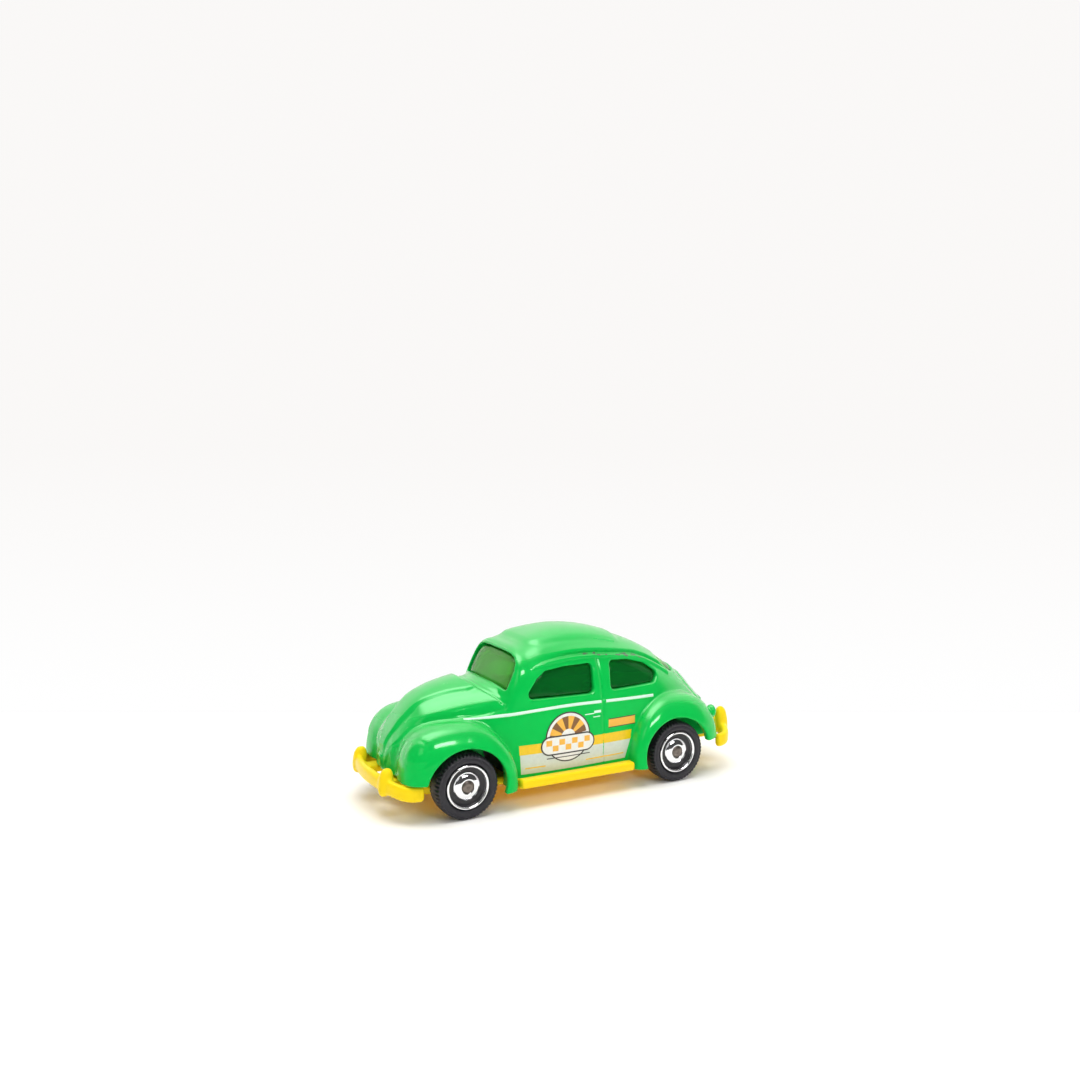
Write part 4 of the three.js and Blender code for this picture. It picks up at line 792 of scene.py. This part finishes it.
print_ink("white_print", INK_WHITE, [
    sector(2, 0.02, BADGE_RADIUS - 0.1, -180, 180, 60, 8),
    plaque(5, PLAQUE_HALF_LENGTH - 0.25, PLAQUE_HALF_HEIGHT - 0.25),
])
print_ink("brown_print", INK_BROWN, [badge_ray(turn) for turn in range(-100, 100, 2 * RAY_TURN)])
print_ink("amber_print", INK_AMBER, [
    strip(1, 7.25, 13.0, 11.4, 12.85, 50, 6),
    *(badge_ray(turn) for turn in range(-80, 80, 2 * RAY_TURN)),
    *(check(step, PLAQUE_Z) for step in range(-3, 4, 2)),
    *(check(step, PLAQUE_Z - CHECK_HEIGHT) for step in range(-2, 4, 2)),
])

# Window moulding: one clear green-tinted part, a thin dome under the roof whose panes stand out into the
# openings of the shell. Only the panes are seen, a little below the paint.
PANE_INSET, DOME_INSET, GLASS_INSET = 0.6, BODY_WALL + 0.3, BODY_WALL + 1.2
FLUSH_INSET, SCREEN_INSET, PANE_GAP, SCREEN_GAP = 0.25, 0.9, 0.15, 0.25
dome_hull, glass_hull, pane_hull = hull_distance(DOME_INSET), hull_distance(GLASS_INSET), hull_distance(PANE_INSET)
flush_hull, screen_hull = hull_distance(FLUSH_INSET), hull_distance(SCREEN_INSET)
GLASS_TINT, SIDE_PAINTED_SHADE = (0.24, 0.80, 0.17), (0.008, 0.34, 0.05)
SIDE_FACING, SCREEN_CLEAR, SIDE_CLEAR, GLASS_IOR = 0.6, 0.72, 0.72, 1.25
GLASS_STEP = 0.28


def glazing(p):
    """Distance to the window moulding."""
    y, z = p[..., 1], p[..., 2]
    under = glass_hull(p)
    cabin = np.maximum(np.maximum(mid_y - 14.2 - y, y - post_ys[1] + POST_RADIUS + 0.3), BELT - 1.0 - z)
    moulding = np.maximum(np.maximum(dome_hull(p), -under), cabin)
    for outside, tool, gap in (
        *((pane_hull, tool, PANE_GAP) for tool in side_tools), (screen_hull, screen_tool, SCREEN_GAP),
        (flush_hull, backlight_tool, PANE_GAP),
    ):
        pane = np.maximum(outside(p), -under)
        moulding = np.minimum(moulding, cut_out(pane, -tool(p) - gap, 0.2))
    return moulding


window_moulding = cast_mesh(
    "window_moulding", glazing, (0, mid_y - 15.0, BELT - 1.6), (10.4, post_ys[1], ROOF - 0.5), GLASS_STEP,
)
# The panes are only part clear. Their diffuse green paints the lit cabin seen through the windscreen and backlight,
# and panes facing sideways take a darker green instead: painted shade of the cabin behind them.
glass = finish("tinted_glass", GLASS_TINT, 0.03, grain=300.0, spread=0.03)
tree = glass.node_tree
sideways = add_node(tree, "Math", {0: facing(tree, "X")})
sideways.operation = "ABSOLUTE"
at_side = add_node(tree, "Math", {0: sideways.outputs[0], 1: SIDE_FACING})
at_side.operation = "GREATER_THAN"
pane_tint_and_shade = add_node(tree, "MixRGB", {
    "Fac": at_side.outputs[0], "Color1": tree.nodes["tone"].outputs["Color"], "Color2": (*SIDE_PAINTED_SHADE, 1.0),
})
feed(tree, tree.nodes["Principled BSDF"], {
    "Base Color": pane_tint_and_shade.outputs["Color"], "IOR": GLASS_IOR,
    "Transmission Weight": ranged(tree, at_side.outputs[0], (0.0, 1.0, SCREEN_CLEAR, SIDE_CLEAR)),
})
window_moulding.data.materials.append(glass)
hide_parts("window_insert")
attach(window_moulding, "chassis")

# Seat tray: a dark plastic moulding under the windows, with two seats, a rear bench and a dash. It is
# clamped between the shell and the base, and the CAD solid is close to the real, simple shape.
tray_plastic = finish("tray_plastic", (0.022, 0.024, 0.022), 0.5, grain=3000.0, spread=0.2, relief=0.2)
bpy.data.objects["seat_tray"].data.materials.clear()
bpy.data.objects["seat_tray"].data.materials.append(tray_plastic)

# Base: one yellow plastic moulding that closes the shell from below. Its floor carries the axles in open
# saddles, its sides are the running boards, and arms at both ends hold the bumpers with their overriders.
BASE_LOW, BASE_TOP = 3.3, 4.6
BASE_HALF, BOARD_HALF, BOARD_LOW, BOARD_HIGH = 7.8, 12.9, 3.6, 5.1
BOARD_FRONT, BOARD_REAR = front_y + 9.8, rear_y - 9.4
BUMPER_SPAN, BUMPER_HALF_THICK, BUMPER_HALF_HIGH, BUMPER_DROOP = 11.3, 0.65, 1.25, 1.35
ARM_X, ARM_HALF, OVERRIDER_X = 4.4, 1.5, 6.9
BASE_YELLOW, PAINTED_BOUNCE_GLOW, PAINTED_BOUNCE_RANGE = (0.98, 0.70, 0.012), (1.0, 0.38, 0.0, 1.0), (-0.9, -0.5, 0.14, 0.0)
BASE_STEP = 0.25
length_half = float(cad_box[1][1]) / MM
floor_outline = outline_distance(mirrored([
    (BASE_HALF - 3.2, nose_y + 2.7), (BASE_HALF, front_y - 3.0), (BASE_HALF, BOARD_FRONT),
    (BOARD_HALF - 1.2, BOARD_FRONT), (BOARD_HALF - 1.2, BOARD_REAR), (BASE_HALF, BOARD_REAR),
    (BASE_HALF, rear_y + 3.0), (BASE_HALF - 3.2, tail_y - 2.7),
]), 0.6)
upstand_hull = hull_distance(BODY_WALL + 0.3)


def rounded_box(p, centre, half, radius):
    """Distance to a box with rounded edges, mirrored about x = 0."""
    folded = np.stack([np.abs(p[..., 0]), p[..., 1], p[..., 2]], -1)
    away = np.abs(folded - np.array(centre)) - np.array(half) + radius
    return np.linalg.norm(np.maximum(away, 0), axis=-1) + np.minimum(away.max(-1), 0) - radius


def bumper(face_y, forward, height, wrap, shell_end, rider_half, rider_lift):
    """Distance to a bumper: a bar bent round the car's end, two overriders and two arms."""
    across = np.sin(np.linspace(0, math.pi / 2, 28))
    bar_x = BUMPER_SPAN * across - BUMPER_HALF_THICK * across ** 3
    bar_y = face_y - forward * (BUMPER_HALF_THICK + wrap * (1 - (1 - across ** 2) ** 0.4))
    bar_z = height - BUMPER_DROOP * across ** 3
    over_y = np.interp(OVERRIDER_X, bar_x, bar_y)
    arm = outline_distance([
        (shell_end - forward * 5.0, VALANCE - 1.4), (shell_end + forward * 0.3, VALANCE - 1.4),
        (bar_y[0], height - 0.9), (bar_y[0], height + 0.25), (shell_end + forward * 0.3, VALANCE - 0.3),
        (shell_end - forward * 5.0, VALANCE - 0.3),
    ][::int(forward)], 0.2)

    def distance(p):
        x, y, z = np.abs(p[..., 0]), p[..., 1], p[..., 2]
        nearest, rise = np.full(x.shape, np.inf), np.zeros(x.shape)
        for i in range(len(across) - 1):
            ex, ey = bar_x[i + 1] - bar_x[i], bar_y[i + 1] - bar_y[i]
            share = np.clip(((x - bar_x[i]) * ex + (y - bar_y[i]) * ey) / (ex * ex + ey * ey), 0, 1)
            plan = np.hypot(x - bar_x[i] - share * ex, y - bar_y[i] - share * ey)
            closer = plan < nearest
            nearest = np.where(closer, plan, nearest)
            rise = np.where(closer, z - bar_z[i] - share * (bar_z[i + 1] - bar_z[i]), rise)
        thick = BUMPER_HALF_THICK - 0.12 * ease(0.5, 1.2, np.abs(rise))
        soft = 0.45
        out, up = nearest - thick + soft, np.abs(rise) - BUMPER_HALF_HIGH + soft
        bar = np.hypot(np.maximum(out, 0), np.maximum(up, 0)) + np.minimum(np.maximum(out, up), 0) - soft
        from_rider = z - height - rider_lift
        tilt = y - over_y + forward * 0.12 * from_rider
        body = np.stack([(x - OVERRIDER_X) / 0.9, tilt / 1.2, from_rider / rider_half], -1)
        rider = ((np.abs(body) ** 2.5).sum(-1) ** 0.4 - 1) * 0.9
        bar = blend_in(bar, rider, 0.5)
        return blend_in(bar, np.maximum(arm(y, z), np.abs(x - ARM_X) - ARM_HALF), 0.3)
    return distance


bumpers = [
    bumper(-length_half, -1, 6.4, 5.6, nose_y, 2.3, 0.2),
    bumper(length_half, 1, 7.2, 4.2, tail_y, 3.0, 0.9),
]


def base_solid(p):
    """Distance to the base moulding."""
    x, y, z = np.abs(p[..., 0]), p[..., 1], p[..., 2]
    plate = np.maximum(floor_outline(x, y), np.abs(z - (BASE_LOW + BASE_TOP) / 2) - (BASE_TOP - BASE_LOW) / 2)
    board_x = (HALF_WIDTH + 0.3 + BOARD_HALF) / 2
    board = rounded_box(
        p, (board_x, (BOARD_FRONT + BOARD_REAR) / 2, (BOARD_LOW + BOARD_HIGH) / 2),
        (BOARD_HALF - board_x, (BOARD_REAR - BOARD_FRONT) / 2, (BOARD_HIGH - BOARD_LOW) / 2), 0.4,
    )
    base = blend_in(plate, board, 0.2)
    ends = np.minimum(post_ys[1] - RIVET_RADIUS - y, y - post_ys[0] - RIVET_RADIUS)
    upstand = np.maximum(np.maximum(upstand_hull(p), ends), np.abs(z - 5.475) - 1.525)
    base = np.minimum(base, upstand)
    for wheel_y in (front_y, rear_y):
        saddle = rounded_box(p, (4.6, wheel_y, 4.9), (1.3, 1.6, 0.95), 0.2)
        base = blend_in(base, saddle, 0.15)
        journal = np.hypot(y - wheel_y, np.minimum(z - axle_z, 0)) - 0.83
        base = cut_out(base, np.maximum(journal, x - WELL_INNER), 0.1)
    for one in bumpers:
        base = blend_in(base, one(p), 0.3)
    for post_y in post_ys:
        from_post = np.hypot(x, y - post_y)
        base = cut_out(base, np.maximum(from_post - RIVET_RADIUS - 0.25, z - BASE_LOW - 0.65), 0.1)
        base = np.maximum(base, POST_RADIUS + 0.3 - from_post)
    ribs = np.minimum(np.abs(x - 2.9), np.abs(x - 6.2)) - 0.35
    panel = np.maximum(np.maximum(np.abs(y - mid_y) - 14.5, x - 7.0), np.maximum(z - BASE_LOW - 0.25, -ribs))
    return cut_out(base, panel, 0.12)


base_moulding = cast_mesh(
    "base_moulding", base_solid, (0, -length_half - 0.4, 2.9), (13.2, length_half + 0.4, 11.6), BASE_STEP,
)
base_plastic = finish(
    "base_plastic", BASE_YELLOW, 0.34, grain=1500.0, spread=0.04, relief=0.15, tint=(1.0, 0.8, 0.15),
)
tree = base_plastic.node_tree
# Faces that look down glow amber: painted light that stands in for the yellow light the base bounces onto the floor
# under the car.
feed(tree, tree.nodes["Principled BSDF"], {
    "Emission Color": PAINTED_BOUNCE_GLOW, "Emission Strength": ranged(tree, facing(tree, "Z"), PAINTED_BOUNCE_RANGE),
})
base_moulding.data.materials.append(base_plastic)
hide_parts("base_plate")
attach(base_moulding, "chassis")

# Axles: straight steel pins, each headed at both ends inside the hubs after the wheels were put on. They
# turn freely in the saddles of the base, and the wheels turn on them.
WHEEL_FACE = float(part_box("hub_front_left")[1][0]) / MM
HEAD_DEPTH, AXLE_RADIUS, HEAD_RADIUS = 0.08, 0.75, 1.0


def turned(name, profile, wheel_y, columns, material, at_x=0.0, side=1, notch=0.0):
    """A solid of revolution about the axle line from a closed profile of (radius, depth below at_x) and the
    share that each point takes of a notch, whose depth may vary round the turn."""
    rings = np.array(profile, float)
    turn = np.linspace(0, 2 * math.pi, columns, endpoint=False)
    radius = rings[:, :1] - rings[:, 2:] * notch * np.ones(columns)
    points = np.stack([
        np.broadcast_to(side * (at_x - rings[:, 1])[:, None], radius.shape),
        wheel_y + radius * np.cos(turn), axle_z + radius * np.sin(turn),
    ], -1).reshape(-1, 3)
    faces = []
    for i in range(len(rings)):
        j = (i + 1) % len(rings)
        for k in range(columns):
            n = (k + 1) % columns
            faces.append((i * columns + k, i * columns + n, j * columns + n, j * columns + k)[::side])
    piece = smooth_piece(name, points, faces)
    piece.data.materials.append(material)
    return piece


axle_steel = finish("axle_steel", (0.20, 0.17, 0.15), 0.3, grain=2500.0, spread=0.25, metallic=1.0)
for axle, wheel_y in (("front_axle", front_y), ("rear_axle", rear_y)):
    head = WHEEL_FACE - HEAD_DEPTH
    end = [(0.02, head), (0.5, head - 0.01), (0.85, head - 0.07), (HEAD_RADIUS, head - 0.2),
           (HEAD_RADIUS, head - 0.38), (0.95, head - 0.4), (AXLE_RADIUS, head - 0.42)]
    pin = turned(
        f"{axle}_pin", [(r, x, 0) for r, x in end] + [(r, -x, 0) for r, x in reversed(end)], wheel_y, 40, axle_steel,
    )
    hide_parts(axle)
    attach(pin, axle)

# Hubs: hard plastic discs pressed into the tyres. A lip at the rim and a cone round the axle are plated
# bright by hot foil, and the dish between them is left black.
RIM, POCKET, BORE = 3.77, 1.08, 0.83
plated = finish("hub_plating", (0.90, 0.90, 0.92), 0.09, grain=900.0, spread=0.04, metallic=1.0)
dish_black = finish("hub_black", (0.012, 0.011, 0.014), 0.35, grain=2000.0, spread=0.2)
hub_profile = [
    (BORE, 4.22), (1.7, 4.22), (1.7, 3.9), (RIM - 0.1, 3.9), (RIM, 3.8), (RIM, 0.22), (RIM - 0.03, 0.1),
    (RIM - 0.11, 0.02), (RIM - 0.22, 0.0), (RIM - 0.33, 0.03), (RIM - 0.41, 0.12), (RIM - 0.44, 0.25),
    (RIM - 0.47, 0.7), (RIM - 0.55, 0.78), (2.42, 0.78), (2.34, 0.72), (2.28, 0.6), (2.1, 0.46), (1.75, 0.3),
    (1.4, 0.18), (1.25, 0.15), (1.14, 0.18), (POCKET, 0.28), (POCKET, 0.56), (BORE, 0.56),
]
LIP_FACES, CONE_FACES = range(5, 12), range(15, 23)
wheel_sides = [(f"{end}_{side}", y, sign) for end, y in (("front", front_y), ("rear", rear_y))
               for side, sign in (("left", 1), ("right", -1))]
HUB_COLUMNS = 96
for wheel, wheel_y, side in wheel_sides:
    hub = turned(
        f"hub_disc_{wheel}", [(r, depth, 0) for r, depth in hub_profile], wheel_y, HUB_COLUMNS, dish_black,
        WHEEL_FACE, side,
    )
    hub.data.materials.append(plated)
    for face in hub.data.polygons:
        face.material_index = int(face.index // HUB_COLUMNS in (*LIP_FACES, *CONE_FACES))
    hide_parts(f"hub_{wheel}")
    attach(hub, f"wheel_{wheel}")

# Tyres: hard dark plastic rings on the hubs, with a flat sidewall and a plain crown. Both shoulders are
# notched all round into small tread blocks.
TYRE_RADIUS, TYRE_SEAT, TYRE_WIDTH = axle_z, 3.85, 3.9
NOTCHES, NOTCH_DEPTH = 50, 0.26
tyre_side = [
    (TYRE_SEAT, 0.55, 0), (3.9, 0.3, 0), (4.02, 0.12, 0), (4.16, 0.03, 0), (4.3, 0.0, 0), (4.75, 0.0, 0),
    (4.8, 0.05, 0), (4.86, 0.05, 0), (4.92, 0.0, 0), (5.1, 0.01, 0), (5.24, 0.06, 0.35), (5.34, 0.18, 1),
    (5.41, 0.35, 1), (5.46, 0.65, 1), (5.48, 0.86, 1), (5.485, 0.95, 0.2), (5.49, 1.02, 0),
]
tyre_plastic = finish("tyre_plastic", (0.013, 0.012, 0.018), 0.5, grain=3500.0, spread=0.15, relief=0.25)
tyre_profile = [(r, TYRE_WIDTH - depth, cut) for r, depth, cut in tyre_side]
tyre_profile += [(TYRE_RADIUS, TYRE_WIDTH / 2, 0), *reversed(tyre_side)]
TYRE_COLUMNS = NOTCHES * 8
phase = np.mod(np.arange(TYRE_COLUMNS) * NOTCHES / TYRE_COLUMNS, 1)
notch = NOTCH_DEPTH * ease(0.5, 0.6, phase) * ease(1.0, 0.9, phase)
for wheel, wheel_y, side in wheel_sides:
    tyre = turned(
        f"tyre_ring_{wheel}", tyre_profile, wheel_y, TYRE_COLUMNS, tyre_plastic, WHEEL_FACE, side, notch,
    )
    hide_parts(f"tyre_{wheel}")
    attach(tyre, f"wheel_{wheel}")
